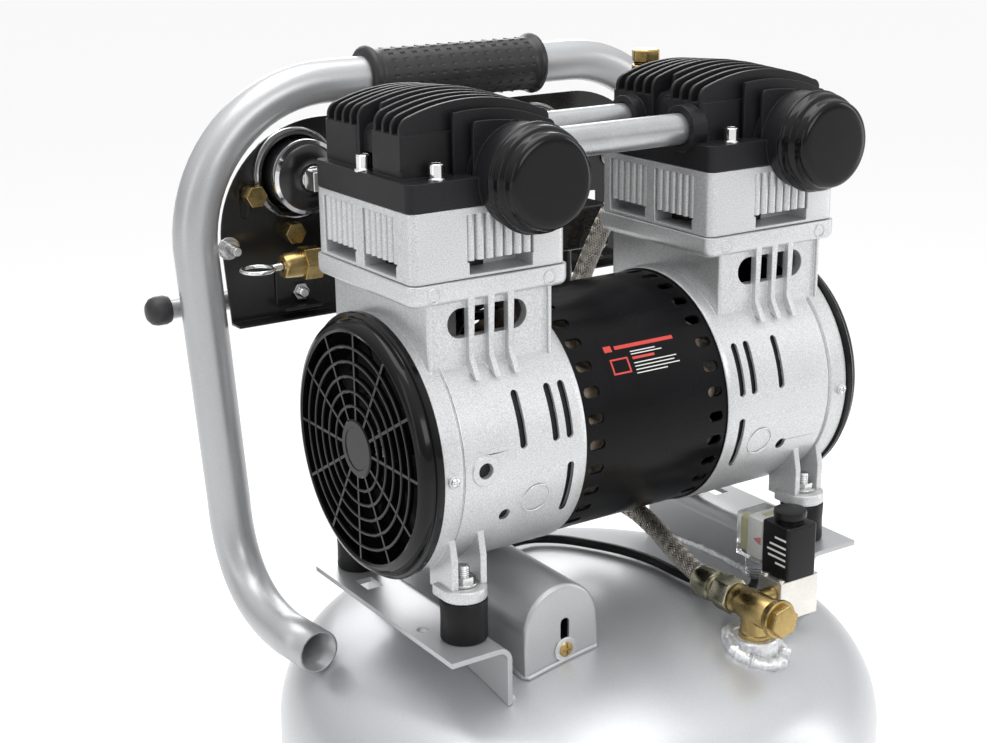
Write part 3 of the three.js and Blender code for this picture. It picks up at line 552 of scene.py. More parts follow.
def block(x0, x1, y0, y1, z0, z1):
    """A box between two values on each axis."""
    bm = bmesh.new()
    middle = Vector((x0 + x1, y0 + y1, z0 + z1)) / 2
    size = Matrix.Diagonal((abs(x1 - x0), abs(y1 - y0), abs(z1 - z0), 1))
    bmesh.ops.create_cube(bm, size=1, matrix=Matrix.Translation(middle) @ size)
    return bm


def prism(outline, axis, low, high):
    """A flat outline on the two axes other than the named one, raised from low to high along it."""
    spot = {"X": lambda a, b: (low, a, b), "Y": lambda a, b: (a, low, b), "Z": lambda a,
            b: (a, b, low)}[axis]
    along = {"X": Vector((1, 0, 0)), "Y": Vector((0, 1, 0)), "Z": Vector((0, 0, 1))}[axis]
    bm = bmesh.new()
    face = bm.faces.new([bm.verts.new(spot(*pair)) for pair in outline])
    raised = bmesh.ops.extrude_face_region(bm, geom=[face], use_keep_orig=True)["geom"]
    lifted = [v for v in raised if isinstance(v, bmesh.types.BMVert)]
    bmesh.ops.translate(bm, verts=lifted, vec=along * (high - low))
    bmesh.ops.recalc_face_normals(bm, faces=bm.faces)
    return bm


def arc(centre, radius, start, end, steps):
    """Points of a circular arc, its angles in degrees."""
    angles = [math.radians(start + (end - start) * i / steps) for i in range(steps + 1)]
    return [(centre[0] + radius * math.cos(a), centre[1] + radius * math.sin(a)) for a in angles]


def rounded(x0, x1, y0, y1, radius, steps=6):
    """A rectangle's outline with round corners."""
    return (arc((x1 - radius, y1 - radius), radius, 0, 90, steps)
            + arc((x0 + radius, y1 - radius), radius, 90, 180, steps)
            + arc((x0 + radius, y0 + radius), radius, 180, 270, steps)
            + arc((x1 - radius, y0 + radius), radius, 270, 360, steps))


def disc(axis, centre, radius, low, high, sides=32):
    """A round bar along the named axis."""
    return prism(arc(centre, radius, 0, 360 - 360 / sides, sides - 1), axis, low, high)


def hexagon(axis, centre, radius, low, high, turn=0):
    """A hexagonal bar along the named axis, turned by some degrees."""
    return prism(arc(centre, radius, turn, turn + 300, 5), axis, low, high)


def eased(bm, picked, offset, segments=4):
    """Rounds over the edges that a test picks."""
    edges = [edge for edge in bm.edges if picked(edge)]
    bmesh.ops.bevel(bm, geom=edges, offset=offset, affect="EDGES", segments=segments, profile=0.5,
                    material=-1)
    return bm


def machined(bm, operation, others):
    """One Boolean operation after another on a shape. The other shapes are used up."""
    for other in others:
        pair = []
        for shape in (bm, other):
            mesh = bpy.data.meshes.new("stock")
            shape.to_mesh(mesh)
            shape.free()
            stock = bpy.data.objects.new("stock", mesh)
            bpy.context.scene.collection.objects.link(stock)
            pair.append(stock)
        step = pair[0].modifiers.new("step", "BOOLEAN")
        step.object = pair[1]
        step.operation = operation
        step.solver = "EXACT"
        finished = pair[0].evaluated_get(bpy.context.evaluated_depsgraph_get())
        result = bpy.data.meshes.new_from_object(finished)
        bm = bmesh.new()
        bm.from_mesh(result)
        bpy.data.meshes.remove(result)
        for stock in pair:
            mesh = stock.data
            bpy.data.objects.remove(stock)
            bpy.data.meshes.remove(mesh)
    return bm


def carved(bm, *cutters):
    """Takes shapes away from a shape."""
    return machined(bm, "DIFFERENCE", cutters)


def fused(bm, *others):
    """Joins shapes into one closed shape."""
    return machined(bm, "UNION", others)


CORNER_X = PANEL_HALF - PANEL_CORNER
CORNER_Z = PANEL_TOP - PANEL_CORNER
FOOT_HALF = PANEL_HALF - 4
SHEET = 1.5
sheet_line = [(-FOOT_HALF, PANEL_LOW), (FOOT_HALF, PANEL_LOW)]
sheet_line += arc((CORNER_X, CORNER_Z), PANEL_CORNER, 0, 90, 20)
sheet_line += arc((-CORNER_X, CORNER_Z), PANEL_CORNER, 90, 180, 20)
holes = [disc("Y", (x, GAUGE_Z), GAUGE_R - 3.5, -5, 5, 48) for _, x in GAUGES]
holes += [disc("Y", KNOB, 11, -5, 5), disc("Y", COUPLER, 7, -5, 5)]
holes.append(prism(rounded(-143, -138, 754, 782, 2.4), "Y", -5, 0.9))
holes.append(prism(rounded(98, 110, 730, 742, 1.5), "Y", -5, 5))
holes.append(block(SWITCH[0] - 16, SWITCH[0] + 16, -5, 5, SWITCH[1] - 16, SWITCH[1] + 16))
holes.append(prism(rounded(-66, 28, 778, 830, 8), "Y", -5, 5))
folded_edge = block(-FOOT_HALF, FOOT_HALF, -10, SHEET, PANEL_LOW, PANEL_LOW + SHEET)
sheet = fused(carved(prism(sheet_line, "Y", 0, SHEET), *holes), folded_edge)
placed("panel_sheet", sheet, PANEL, gloss_black, "black_paint", "control_panel", bevel=0.35)


THREAD_PITCH = 1.2


def screw(axis, centre, base, length, head_r, head, side=-1):
    """A stud or bolt: plain shank, threaded in rings, with a hexagon under its tip."""
    line = [(0, -0.1)]
    for i in range(int(length / THREAD_PITCH)):
        line += [(head_r * 0.52, i * THREAD_PITCH), (head_r * 0.6, (i + 0.5) * THREAD_PITCH)]
    line += [(head_r * 0.45, length), (0, length)]
    bm = turned([(r, base + side * h) for r, h in line], axis=axis, steps=24)
    nut = hexagon(axis, (0, 0), head_r, *sorted((base, base + side * head)))
    washer = disc(axis, (0, 0), head_r * 1.25, *sorted((base, base + side * THREAD_PITCH)))
    added(bm, nut, washer)
    shift = {"X": (0, *centre), "Y": (centre[0], 0, centre[1]), "Z": (*centre, 0)}[axis]
    bm.transform(Matrix.Translation(shift))
    return bm


bolts = bmesh.new()
for x, z, reach in ((-152, 738, 13), (152, 738, 13), (-109, 707, 9), (109, 707, 9), (120, 764, 9)):
    added(bolts, screw("Y", (x, z), -0.2, reach, 5.4, 4.5))
placed("panel_bolts", bolts, PANEL, bright_steel, "steel", bevel=0.3)
tabs = bmesh.new()
for side in (-1, 1):
    near, far = side * 112 - 12, side * 112 + 12
    added(tabs, block(near, far, -1.8, -0.2, 699, 722), block(near, far, -14, -0.2, 699, 700.8))
placed("panel_tabs", tabs, PANEL, gloss_black, "black_paint", bevel=0.5)

# ---- Gauges -------------------------------------------------------------------------------
# Two dial gauges with bright rims, black pressed cases behind and square steel stems. Their
# white dials carry tick marks and a red needle that turns with the pressure.
case_black = finish("case_black", (0.008, 0.008, 0.009), (0.004, 0.004, 0.005), 0, (0.2, 0.3), 900, 0.006)
chrome = finish("chrome", (0.86, 0.86, 0.86), (0.72, 0.72, 0.73), 1, (0.05, 0.12), 500, 0.002,
                mottle_scale=40)
dial_white = finish("dial_white", (0.86, 0.86, 0.84), (0.78, 0.78, 0.76), 0, (0.4, 0.5), 700, 0.004)
mark_black = finish("mark_black", (0.03, 0.03, 0.03), (0.02, 0.02, 0.02), 0, (0.5, 0.6), 700, 0.002)
needle_red = finish("needle_red", (0.6, 0.04, 0.03), (0.5, 0.03, 0.02), 0, (0.35, 0.45), 700, 0.004)
lens_glass = finish("lens_glass", (0.95, 0.97, 0.97), (0.93, 0.95, 0.95), 0, (0.02, 0.05), 300, 0.001,
                    Transmission_Weight=1, IOR=1.2)
CASE = [(0, -24), (8.5, -24), (9.5, -23), (12, -22.4), (17.5, -20.8), (19.6, -19), (20.2, -16.5),
        (20.2, 1.7), (25, 1.7)]
BEZEL = [(20.3, 1.7), (25.6, 1.7), (26, 2.2), (26, 6.2), (25.2, 7.6), (23.8, 8), (22.8, 7.4),
         (22.6, 5.4), (20.3, 5.2)]
REAR_RIM = [(19.2, -19.5), (21.4, -18.8), (22, -17), (21.6, -14.8), (20.3, -14.2)]
FLANGE_RING = [(21.6, -0.3), (26.4, -0.3), (27, -1.4), (26.8, -3.8), (25.4, -5.4), (23.4, -5),
               (21.6, -3), (21.6, -0.3)]
HAND = [(-1.1, -5), (1.1, -5), (0.9, 4), (0.25, 17), (-0.25, 17), (-0.9, 4)]
HAND_AT_REST = math.radians(135)
DIAL_STEPS = 40
DIAL_START = 225
DIAL_SWEEP = 270
for name, x in GAUGES:
    spot = (x, 0, GAUGE_Z)
    placed(f"{name}_gauge_case", turned(CASE, axis="Y", steps=64, centre=spot), PANEL, case_black,
           "steel", sharp=45)
    rim_bm = added(*[turned(line, axis="Y", steps=64, centre=spot)
                     for line in (BEZEL, REAR_RIM, FLANGE_RING)])
    placed(f"{name}_gauge_rim", rim_bm, PANEL, chrome, "steel", f"{name}_gauge", sharp=50)
    stem = fused(block(x - 5.6, x + 5.6, -36, -23, GAUGE_Z - 5.6, GAUGE_Z + 5.6),
                 disc("Y", (x, GAUGE_Z), 7.4, -26, -22, 24))
    placed(f"{name}_gauge_stem", stem, PANEL, bright_steel, "steel", bevel=0.7)
    dial = turned([(22.6, 4.9), (0, 4.9)], axis="Y", steps=64, centre=spot)
    placed(f"{name}_dial", dial, PANEL, dial_white, "steel")
    lens = turned([(0, 6.9), (22.7, 6.9), (22.7, 7.5), (0, 7.5)], axis="Y", steps=64, centre=spot)
    placed(f"{name}_gauge_lens", lens, PANEL, lens_glass, "steel")
    marks = bmesh.new()
    for i in range(DIAL_STEPS + 1):
        turn = math.radians(DIAL_START - i * DIAL_SWEEP / DIAL_STEPS)
        inner, half = (14.2, 0.45) if i % 5 == 0 else (16.4, 0.2)
        mark = block(inner, 18.6, 4.95, 5.15, -half, half)
        mark.transform(Matrix.Translation(spot) @ Matrix.Rotation(-turn, 4, "Y"))
        added(marks, mark)
    placed(f"{name}_dial_marks", marks, PANEL, mark_black, "steel")
    hand = added(prism(HAND, "Y", 5.8, 6.3), disc("Y", (0, 0), 2.6, 5.4, 6.6, 24))
    hand.transform(Matrix.Translation(spot) @ Matrix.Rotation(HAND_AT_REST, 4, "Y"))
    placed(f"{name}_hand", hand, PANEL, needle_red, "red_plastic", f"{name}_needle",
           body=f"{name}_needle", bevel=0.12)

# ---- Regulator, switch and couplings ------------------------------------------------------
# A moulded regulator with a ribbed knob, a rocker switch in a black box, a square manifold, a
# brass safety valve with its pull ring, and a steel plug coupling with a sliding brass sleeve.
moulded_black = finish("moulded_black", (0.009, 0.009, 0.01), (0.005, 0.005, 0.006), 0, (0.36, 0.5),
                       1300, 0.03, Specular_IOR_Level=0.3)
MANIFOLD_Y = -32
VALVE_HEIGHT = 731
KNOB_FACES = 72
knob_line = [(0, 5.6), (14.6, 5.6), (16.2, 6.4), (17, 9), (16.2, 27), (14.6, 29.4), (12.4, 30), (0, 30)]
knob_bm = turned(knob_line, axis="Y", steps=KNOB_FACES, centre=(KNOB[0], 0, KNOB[1]))
ribs = []
for face in knob_bm.faces:
    middle = face.calc_center_median()
    turn = math.atan2(middle.x - KNOB[0], middle.z - KNOB[1]) + math.pi
    column = int(turn / (2 * math.pi / KNOB_FACES))
    if 9 < middle.y < 27 and column % 4 == 0:
        ribs.append(face)
bmesh.ops.inset_individual(knob_bm, faces=ribs, thickness=0.15, depth=-0.7)
placed("knob", knob_bm, PANEL, moulded_black, "black_plastic", "regulator_knob",
       body="regulator_knob", sharp=50)
regulator_line = [(0, -50), (9, -50), (12, -48.6), (15.4, -40), (16, -36), (16, -12), (14, -10.2),
                  (10, -10), (10, 5), (0, 5)]
regulator_bm = turned(regulator_line, axis="Y", steps=48, centre=(KNOB[0], 0, KNOB[1]))
added(regulator_bm, turned([(10, 743), (10, 760)], steps=32, centre=(KNOB[0], -31, 0)))
placed("regulator_body", regulator_bm, PANEL, moulded_black, "black_plastic", "regulator")
manifold_bm = fused(prism(rounded(-44, -20, 716, 742.6, 2), "X", -98, 88),
                    disc("Z", (60, MANIFOLD_Y), 6, 690, 720))
placed("manifold_block", manifold_bm, PANEL, gloss_black, "black_paint", "manifold", bevel=0.8)
x, z = SWITCH
box_bm = fused(prism(rounded(x - 26, x + 26, z - 26, z + 26, 5), "Y", -16, -0.3),
               block(x - 15, x + 15, -1.3, 3, z - 15, z + 15))
box_bm = carved(box_bm, block(x - 10, x + 10, -10, 5, z - 13, z + 13))
placed("switch_box", box_bm, PANEL, moulded_black, "black_plastic", "pressure_switch", bevel=0.8)
rocker_line = [(-6, -11.4), (3.2, -11.4), (4, -10.5), (2.6, 0), (4, 10.5), (3.2, 11.4), (-6, 11.4)]
rocker = prism(rocker_line, "X", -9, 9)
rocker.transform(Matrix.Translation((x, 0, z)))
placed("rocker", rocker, PANEL, lever_red, "red_plastic", "switch_lever", body="switch_lever", bevel=0.6)
x, z = COUPLER
plug_line = [(4, 21), (4, 38), (7, 38), (8, 37.2), (8, 31), (6, 30), (6, 11), (6, 2), (6, -19.7),
             (0, -19.7)]
plug_bm = added(turned(plug_line, axis="Y", steps=40, centre=(x, 0, z)),
                hexagon("Y", (x, z), 9.5, 2.2, 10))
placed("plug_body", plug_bm, PANEL, bright_steel, "steel", "coupler", bevel=0.3)
sleeve_line = [(6.4, 15.5), (10.4, 15.5), (11.2, 16.2), (11.5, 17)]
for i in range(5):
    sleeve_line += [(11.5, 17.6 + 1.3 * i), (11, 18 + 1.3 * i), (11.5, 18.4 + 1.3 * i)]
sleeve_line += [(11.5, 24.2), (10.2, 25), (10, 29), (6.4, 29), (6.4, 15.5)]
placed("sliding_sleeve", turned(sleeve_line, axis="Y", steps=48, centre=(x, 0, z)), PANEL, brass,
       "brass", "coupler_sleeve", body="coupler_sleeve")
valve_line = [(0, -98.3), (6, -98.3), (6, -110), (7.5, -110.5), (7.5, -124), (7.2, -132),
              (6.4, -134), (3, -134), (3, -119)]
valve_axis = (0, MANIFOLD_Y, VALVE_HEIGHT)
valve_bm = added(turned(valve_line, axis="X", steps=40, centre=valve_axis),
                 hexagon("X", (MANIFOLD_Y, VALVE_HEIGHT), 10, -122, -111))
placed("safety_body", valve_bm, PANEL, brass, "brass", "safety_valve", bevel=0.4)
RING_X = -149
RING_R = 9
turns = [2 * math.pi * i / 40 for i in range(41)]
ring_line = [Vector((RING_X + RING_R * math.cos(a), MANIFOLD_Y + RING_R * math.sin(a), VALVE_HEIGHT))
             for a in turns]
pull_stem = [(0, -140.6), (1.8, -140), (2.2, -138), (2.2, -121), (0, -121)]
pull = added(swept(ring_line, 1.2, sides=12, capped=False),
             turned(pull_stem, axis="X", steps=20, centre=valve_axis))
placed("pull_ring", pull, PANEL, bright_steel, "steel", "safety_ring", body="safety_ring")
plugs = bmesh.new()
for spot in ((-138, 768), (-114.5, 744)):
    added(plugs, hexagon("Y", spot, 6.6, -13, -6), disc("Y", spot, 5, -6, -0.2, 24))
placed("panel_plugs", plugs, PANEL, brass, "brass", bevel=0.5)
elbow_line = ((-60, -30, 742), (-60, -30, 752), (-57, -32, 758), (-50, -33, 760), (-40, -33, 760))
elbow = swept([Vector(point) for point in elbow_line], 5)
placed("regulator_elbow", elbow, PANEL, brass, "brass")

# ---- Pump brackets and rubber mounts ------------------------------------------------------
# Two folded steel plates welded to the tank's shoulder, each with a slot, carry the pump on four
# rubber blocks held by studs, nuts and washers.
MOUNT_X = 119.85
MOUNT_Y = 57.4
MOUNT_LOW = -226.2
MOUNT_HIGH = -203.5
PLATE = 3
mount_rubber = finish("mount_rubber", (0.009, 0.009, 0.01), (0.005, 0.005, 0.006), 0, (0.36, 0.5),
                      900, 0.02, Specular_IOR_Level=0.2)


def tank_dome(grow):
    """The top head as a solid in the pump's frame, grown by a little, for cutting what sits on it."""
    shift = (TANK - PUMP) / MM
    line = [(r + (grow if r > 1 else 0), STRAIGHT_HIGH + rise + grow) for r, rise in head_outline(16)]
    return turned(line + [(TANK_R + grow, 300), (0, 300)], steps=96, centre=shift)


def on_tank(x, y):
    """Height of the top head, in the pump's frame, over a point of that frame."""
    shift = (PUMP - TANK) / MM
    return dome_height(x + shift.x, y + shift.y) - shift.z


for name, side in SIDES:
    section = [(105, -278), (108, -278)] + arc((113, MOUNT_LOW - PLATE - 5.3), 5, 180, 90, 5)
    section += [(142, MOUNT_LOW - PLATE - 0.3), (142, MOUNT_LOW - 0.3)]
    section += arc((113, MOUNT_LOW - 8.3), 8, 90, 180, 6)
    plate_bm = prism([(side * x, z) for x, z in section], "Y", -81, 70)
    slot = block(side * 128 - 5, side * 128 + 5, 24, 38, -240, -220)
    plate_bm = carved(plate_bm, tank_dome(0.3), slot, disc("Z", (side * 134, -38), 3, -240, -220))
    placed(f"bracket_plate_{name}", plate_bm, PUMP, silver_paint, "silver_paint", f"bracket_{name}",
           bevel=0.4)
    for end, label in ((-1, "front"), (1, "rear")):
        block_line = [(0, MOUNT_LOW), (12.2, MOUNT_LOW), (12.8, MOUNT_LOW + 1), (12.5, -216),
                      (12.5, -213), (12.8, MOUNT_HIGH - 1), (12.2, MOUNT_HIGH), (0, MOUNT_HIGH)]
        mount_bm = turned(block_line, steps=48, centre=(side * MOUNT_X, end * MOUNT_Y, 0))
        placed(f"mount_block_{label}_{name}", mount_bm, PUMP, mount_rubber, "rubber",
               f"mount_{label}_{name}", sharp=50)
        stud = screw("Z", (side * MOUNT_X, end * MOUNT_Y), MOUNT_LOW - PLATE - 0.5, 8, 6.2, 5, side=-1)
        top_stud = screw("Z", (side * MOUNT_X, end * MOUNT_Y), -195.7, 10.5, 6, 4.6, side=1)
        placed(f"mount_stud_{label}_{name}", added(stud, top_stud), PUMP, bright_steel, "steel",
               bevel=0.3)
    edge_x = side * 103.4
    edge = [(edge_x, -78 + 145 * i / 39) for i in range(40)]
    shift = (PUMP - TANK) / MM
    weld_line = [Vector((x, y, on_tank(x, y) + 0.8)) for x, y in edge
                 if math.hypot(x + shift.x, y + shift.y) < 140]
    seam = weld_line + [point + Vector((side * 0.8, 0, 0.5)) for point in weld_line[::-1]]
    placed(f"bracket_weld_{name}", weld_bead(seam, 2.0, 9 + side), PUMP, weld_paint, "silver_paint",
           sharp=60)

# ---- Crankcases ---------------------------------------------------------------------------
# Two aluminium die castings in silver paint: a round barrel on the motor's axis, a square tower
# up to the cylinder, a louvred opening, cooling slots, and feet with studs for the mounts.
cast_silver = finish("cast_silver", (0.7, 0.705, 0.71), (0.44, 0.445, 0.455), 0.5, (0.3, 0.44),
                     1500, 0.06, mottle_scale=14, grain_share=0.8)
AXIS = -132
CYL = 95
BARREL_R = 70
BARREL_NEAR = 52
BARREL_FAR = 138
WALL_R = 67.8
TOWER_Y = 49.5
HOLE_X = {"left": -98, "right": 94}
MARK_X = {"left": -80, "right": 75.5}
BOSS = (-113, -131)
FOOT_R = 12.6
FOOT_IN = 47
WEB = [(40, -200), (58, -200), (63, -196), (63, -180), (58, -158), (40, -150)]
RIB = [(-TOWER_Y - 1.6, -42), (-TOWER_Y + 3, -42), (-TOWER_Y + 3, -82), (-TOWER_Y - 8, -87),
       (-TOWER_Y - 1.6, -76)]
DUCT = [(67, 54.4), (67.5, 54.4), (67.5, 137.6), (67, 137.6), (67, 116.6), (15, 116.6), (15, 116),
        (67, 116), (67, 54.4)]
RING_TILT = math.radians(18.3)
FLANGE_Y = 51.5
SCREW_X = 133
BARREL = [(BARREL_R - 8, BARREL_NEAR), (BARREL_R - 1.4, BARREL_NEAR), (BARREL_R - 1.4, BARREL_NEAR - 3),
          (BARREL_R - 0.4, BARREL_NEAR - 3), (BARREL_R, BARREL_NEAR - 2.4), (BARREL_R, 54), (BARREL_R, 64),
          (BARREL_R, 74), (BARREL_R, 83), (BARREL_R, 97), (BARREL_R, 125), (BARREL_R - 0.5, 125.4),
          (BARREL_R - 0.5, 126), (BARREL_R + 0.8, 126.6), (BARREL_R + 1, 127.4), (BARREL_R + 1, BARREL_FAR),
          (BARREL_R - 8, BARREL_FAR), (BARREL_R - 8, BARREL_NEAR)]


def across(side, a, b):
    """An interval of the right-hand unit, or its mirror image on the left."""
    return (a, b) if side > 0 else (-b, -a)


def side_turned(side, outline, steps=96):
    """A profile of [radius, distance from the pump's middle] round the motor's axis."""
    return turned([(r, side * x) for r, x in outline], axis="X", steps=steps, centre=(0, 0, AXIS))


def barrel_slot(side, x, width, low, high):
    """A round-ended slot cut straight in through the front of a barrel."""
    x0, x1 = across(side, x - width / 2, x + width / 2)
    return prism(rounded(x0, x1, low, high, width / 2 - 0.05), "Y", -90, -20)


for name, side in SIDES:
    barrel = side_turned(side, BARREL)
    tower = prism(rounded(*across(side, 57, 133), -TOWER_Y, TOWER_Y, 1.6, 3), "Z", -112, -46)
    pockets = [block(*across(side, 59.8, 130.4), *faces, -120, -40) for faces in (
        (-TOWER_Y - 5, -TOWER_Y + 1.8), (TOWER_Y - 1.8, TOWER_Y + 5))]
    tower = carved(tower, *pockets)
    flange_line = rounded(*across(side, CYL - 48.2, CYL + 48.2), -FLANGE_Y, FLANGE_Y, 6)
    flange = eased(prism(flange_line, "Z", -46.8, -35.3), lambda e: all(v.co.z < -46 for v in e.verts), 4)
    whole = fused(barrel, tower, flange)
    feet = bmesh.new()
    for end in (-1, 1):
        for x in (110.5, 128):
            web = prism([(end * y, z) for y, z in WEB], "X", *across(side, x - 2, x + 2))
            whole = fused(whole, web)
        foot_x = side * MOUNT_X
        foot_line = arc((foot_x, end * MOUNT_Y), FOOT_R, 180, 180 - end * 180, 24)
        foot_line = [(foot_x - FOOT_R, end * FOOT_IN)] + foot_line + [(foot_x + FOOT_R, end * FOOT_IN)]
        foot = eased(prism(foot_line, "Z", -203.2, -196.2),
                     lambda e: abs(e.verts[0].co.z - e.verts[1].co.z) < 0.01, 1.2, 3)
        added(feet, foot)
    louvre = prism(rounded(*across(side, 72.2, 120.2), -66, -50.5, 7.6, 10), "Y", -70, -20)
    hollow = side_turned(side, [(0, BARREL_NEAR + 2), (WALL_R, BARREL_NEAR + 2),
                                (WALL_R, BARREL_FAR + 2), (0, BARREL_FAR + 2)])
    well = block(*across(side, 62, 128), -42, 42, AXIS + 20, -40)
    shaft_hole = disc("X", (0, AXIS), 9.5, *across(side, 40, 64))
    slots = [barrel_slot(side, x, 4.2, -124, -95) for x in (88.8, 68.4, 59.6)]
    slots.append(barrel_slot(side, 59.6, 4.2, -167, -137))
    slots.append(disc("Y", (HOLE_X[name], -160), 3.2, -90, -40, 24))
    whole = carved(whole, hollow, well, shaft_hole, louvre, *slots)
    ribs = [prism(RIB, "X", *across(side, x - 1.7, x + 1.7)) for x in (84.2, 96.2, 108.2)]
    whole = fused(whole, *ribs, disc("Y", (side * SCREW_X, AXIS), 3.4, -BARREL_R - 3, -60, 24))
    if side < 0:
        whole = fused(whole, disc("Y", BOSS, 8, -BARREL_R - 0.8, -60, 24))
        whole = carved(whole, disc("Y", BOSS, 4.2, -90, -50, 24))
    placed(f"crank_housing_{name}", whole, PUMP, cast_silver, "cast_silver", f"crankcase_{name}",
           sharp=38, bevel=0.5)
    duct = carved(side_turned(side, DUCT), block(*across(side, 50, 112), -44, 44, AXIS + 20, -40))
    placed(f"air_duct_{name}", duct, PUMP, moulded_black, "black_plastic")
    placed(f"crank_feet_{name}", feet, PUMP, cast_silver, "cast_silver", sharp=50)
    marks = bmesh.new()
    for x, z, r, y, tilt in ((MARK_X[name], -154, 9, -BARREL_R * 0.949, RING_TILT),
                             (side * 60, -41, 4.2, -FLANGE_Y, 0), (side * 130, -41, 4.2, -FLANGE_Y, 0)):
        ring = turned([(r, 0), (r - 0.3, 0.35), (r - 0.9, 0.35), (r - 1.2, 0)], axis="Y", steps=32)
        ring.transform(Matrix.Translation((x, y, z)) @ Matrix.Rotation(tilt, 4, "X")
                       @ Matrix.Rotation(math.pi, 4, "Z"))
        added(marks, ring)
    placed(f"cast_marks_{name}", marks, PUMP, cast_silver, "cast_silver")
    cross = turned([(0, 1.1), (1.5, 1), (2.3, 0.5), (2.6, -0.4), (2.6, -2), (0, -2)], axis="Y", steps=28)
    x = side * SCREW_X
    cross.transform(Matrix.Translation((x, -BARREL_R - 3.2, AXIS)) @ Matrix.Rotation(math.pi, 4, "Z"))
    cross = carved(cross, *[block(x - a, x + a, -80, -BARREL_R - 3.7, AXIS - b, AXIS + b)
                            for a, b in ((2, 0.4), (0.4, 2))])
    placed(f"cover_screw_{name}", cross, PUMP, bright_steel, "steel")

# ---- Cylinder blocks ----------------------------------------------------------------------
# Cast sleeves between crankcase and head. Their walls are fluted for cooling in sunk windows,
# each with an air slot along its lower edge.
BLOCK_X = 46.7
BLOCK_Y = 50
BLOCK_LOW = -35
BLOCK_HIGH = 1


def window_cutters(face, low, high, sign):
    """Cutters for a sunk window and the air slot under it, on a side wall (X) or an end wall (Y)."""
    reach = BLOCK_X if face == "X" else BLOCK_Y
    cutters = []
    for deep, start, end, bottom, top in ((3.4, low, high, -27, -2.8),
                                          (17, low + 1.2, high - 0.6, -33.2, -26)):
        near, far = sorted((sign * (reach - deep), sign * (reach + 2)))
        spans = (near, far, start, end) if face == "X" else (start, end, near, far)
        cutters.append(block(*spans, bottom, top))
    return cutters


def flutes(face, low, high, sign):
    """Upright half-round ribs that fill a window, a little below the wall's face."""
    reach = (BLOCK_X if face == "X" else BLOCK_Y) - 2.9
    count = round((high - low) / 5.8)
    pitch = (high - low) / count
    ribs = bmesh.new()
    for i in range(count):
        spot = (sign * reach, low + pitch * (i + 0.5))
        added(ribs, disc("Z", spot if face == "X" else spot[::-1], pitch * 0.43, -26.4, -2, 24))
    return ribs


WINDOWS = [("X", -35.5, -1, -1), ("X", 6.5, 41, -1), ("X", -35.5, -1, 1), ("X", 6.5, 41, 1),
           ("Y", -14, 26, -1), ("Y", -26, 14, 1)]
for name, side in SIDES:
    sleeve = prism(rounded(-BLOCK_X, BLOCK_X, -BLOCK_Y, BLOCK_Y, 5), "Z", BLOCK_LOW, BLOCK_HIGH)
    sleeve = carved(sleeve, disc("Z", (0, 0), 33.5, -40, 5, 64))
    ribs = bmesh.new()
    for window in WINDOWS:
        sleeve = carved(sleeve, *window_cutters(*window))
        added(ribs, flutes(*window))
    for shape in (sleeve, ribs):
        shape.transform(Matrix.Translation((side * CYL, 0, 0)))
    placed(f"cylinder_sleeve_{name}", sleeve, PUMP, cast_silver, "cast_silver",
           f"cylinder_block_{name}", sharp=38, bevel=0.55)
    placed(f"cylinder_flutes_{name}", ribs, PUMP, cast_silver, "cast_silver")
# A liner tube inside each bore, seen through the air slots under the windows. It is a real part, but its
# near-black colour is painted shade that stands for the dark void those slots open onto.
liner_painted_shade = finish("liner_painted_shade", (0.06, 0.06, 0.06), (0.03, 0.03, 0.03), 0.9, (0.3, 0.45), 700,
                     0.02, mottle_scale=30)
for name, side in SIDES:
    shade_liner = turned([(31, -34.5), (33.3, -34.5), (33.3, -3), (31, -3), (31, -34.5)], steps=72,
                   centre=(side * CYL, 0, 0))
    placed(f"cylinder_liner_shade_{name}", shade_liner, PUMP, liner_painted_shade, "cast_silver")
carried(bright_steel, "valve_plate_left", "valve_plate_right")

# ---- Cylinder heads -----------------------------------------------------------------------
# Black cast heads: a thick plate, two finned chambers under an arched crest, sockets for the two
# transfer tubes, a round intake for the filter, and bright socket screws down to the crankcase.
black_cast = finish("black_cast", (0.016, 0.016, 0.018), (0.009, 0.009, 0.01), 0, (0.34, 0.48),
                    1300, 0.06, mottle_scale=18, grain_share=0.6, Specular_IOR_Level=0.2)
HEAD_X = 47
HEAD_Y = 46
HEAD_LOW = 1.3
HEAD_PLATE = 15.5
EAVE = 36
CREST = 54.6
CROWN = 108
PORTS = {"front": -25, "rear": 26}
PORT_Z = 22.7
INTAKE = (20, 13.5)
HOSE_END = (CYL, 68)


def arched(half, low, crest, corner, steps=18):
    """An arched outline: upright ends, rounded shoulders, and the head's crest."""
    middle = crest - CROWN
    shoulder = middle + math.sqrt(CROWN ** 2 - (half - corner) ** 2) - corner
    spread = math.degrees(math.asin((half - corner) / CROWN))
    right = arc((half - corner, shoulder), corner, 0, 84, 5)
    crown = arc((0, middle), CROWN, 90 - spread, 90 + spread, steps)
    left = arc((corner - half, shoulder), corner, 96, 180, 5)
    return [(-half, low), (half, low)] + right + crown + left


def fin(y, thickness, left, low, crest):
    """One upright fin across the head from its left end to the right-hand side."""
    bm = prism(arched(HEAD_X, low, crest, 5), "Y", y - thickness / 2, y + thickness / 2)
    if left > -HEAD_X:
        corner = CREST - CROWN + math.sqrt(CROWN ** 2 - left ** 2) - (CREST - crest)
        bm = carved(bm, block(-HEAD_X - 5, left, y - 5, y + 5, low - 5, CREST + 5))
        eased(bm, lambda e: all(abs(v.co.x - left) < 0.01 and v.co.z > corner - 3 for v in e.verts), 4.5, 5)
    return bm


def socket_screw(x, y, base):
    """A bright cap screw with a hexagon socket, standing on its washer."""
    line = [(0, -1), (5, -1), (5, 0.5), (4, 0.7), (4, 7.2), (3.5, 7.8), (0, 7.8)]
    head = turned([(r, base + h) for r, h in line], steps=32, centre=(x, y, 0))
    return carved(head, hexagon("Z", (x, y), 2.5, base + 3.6, base + 12))


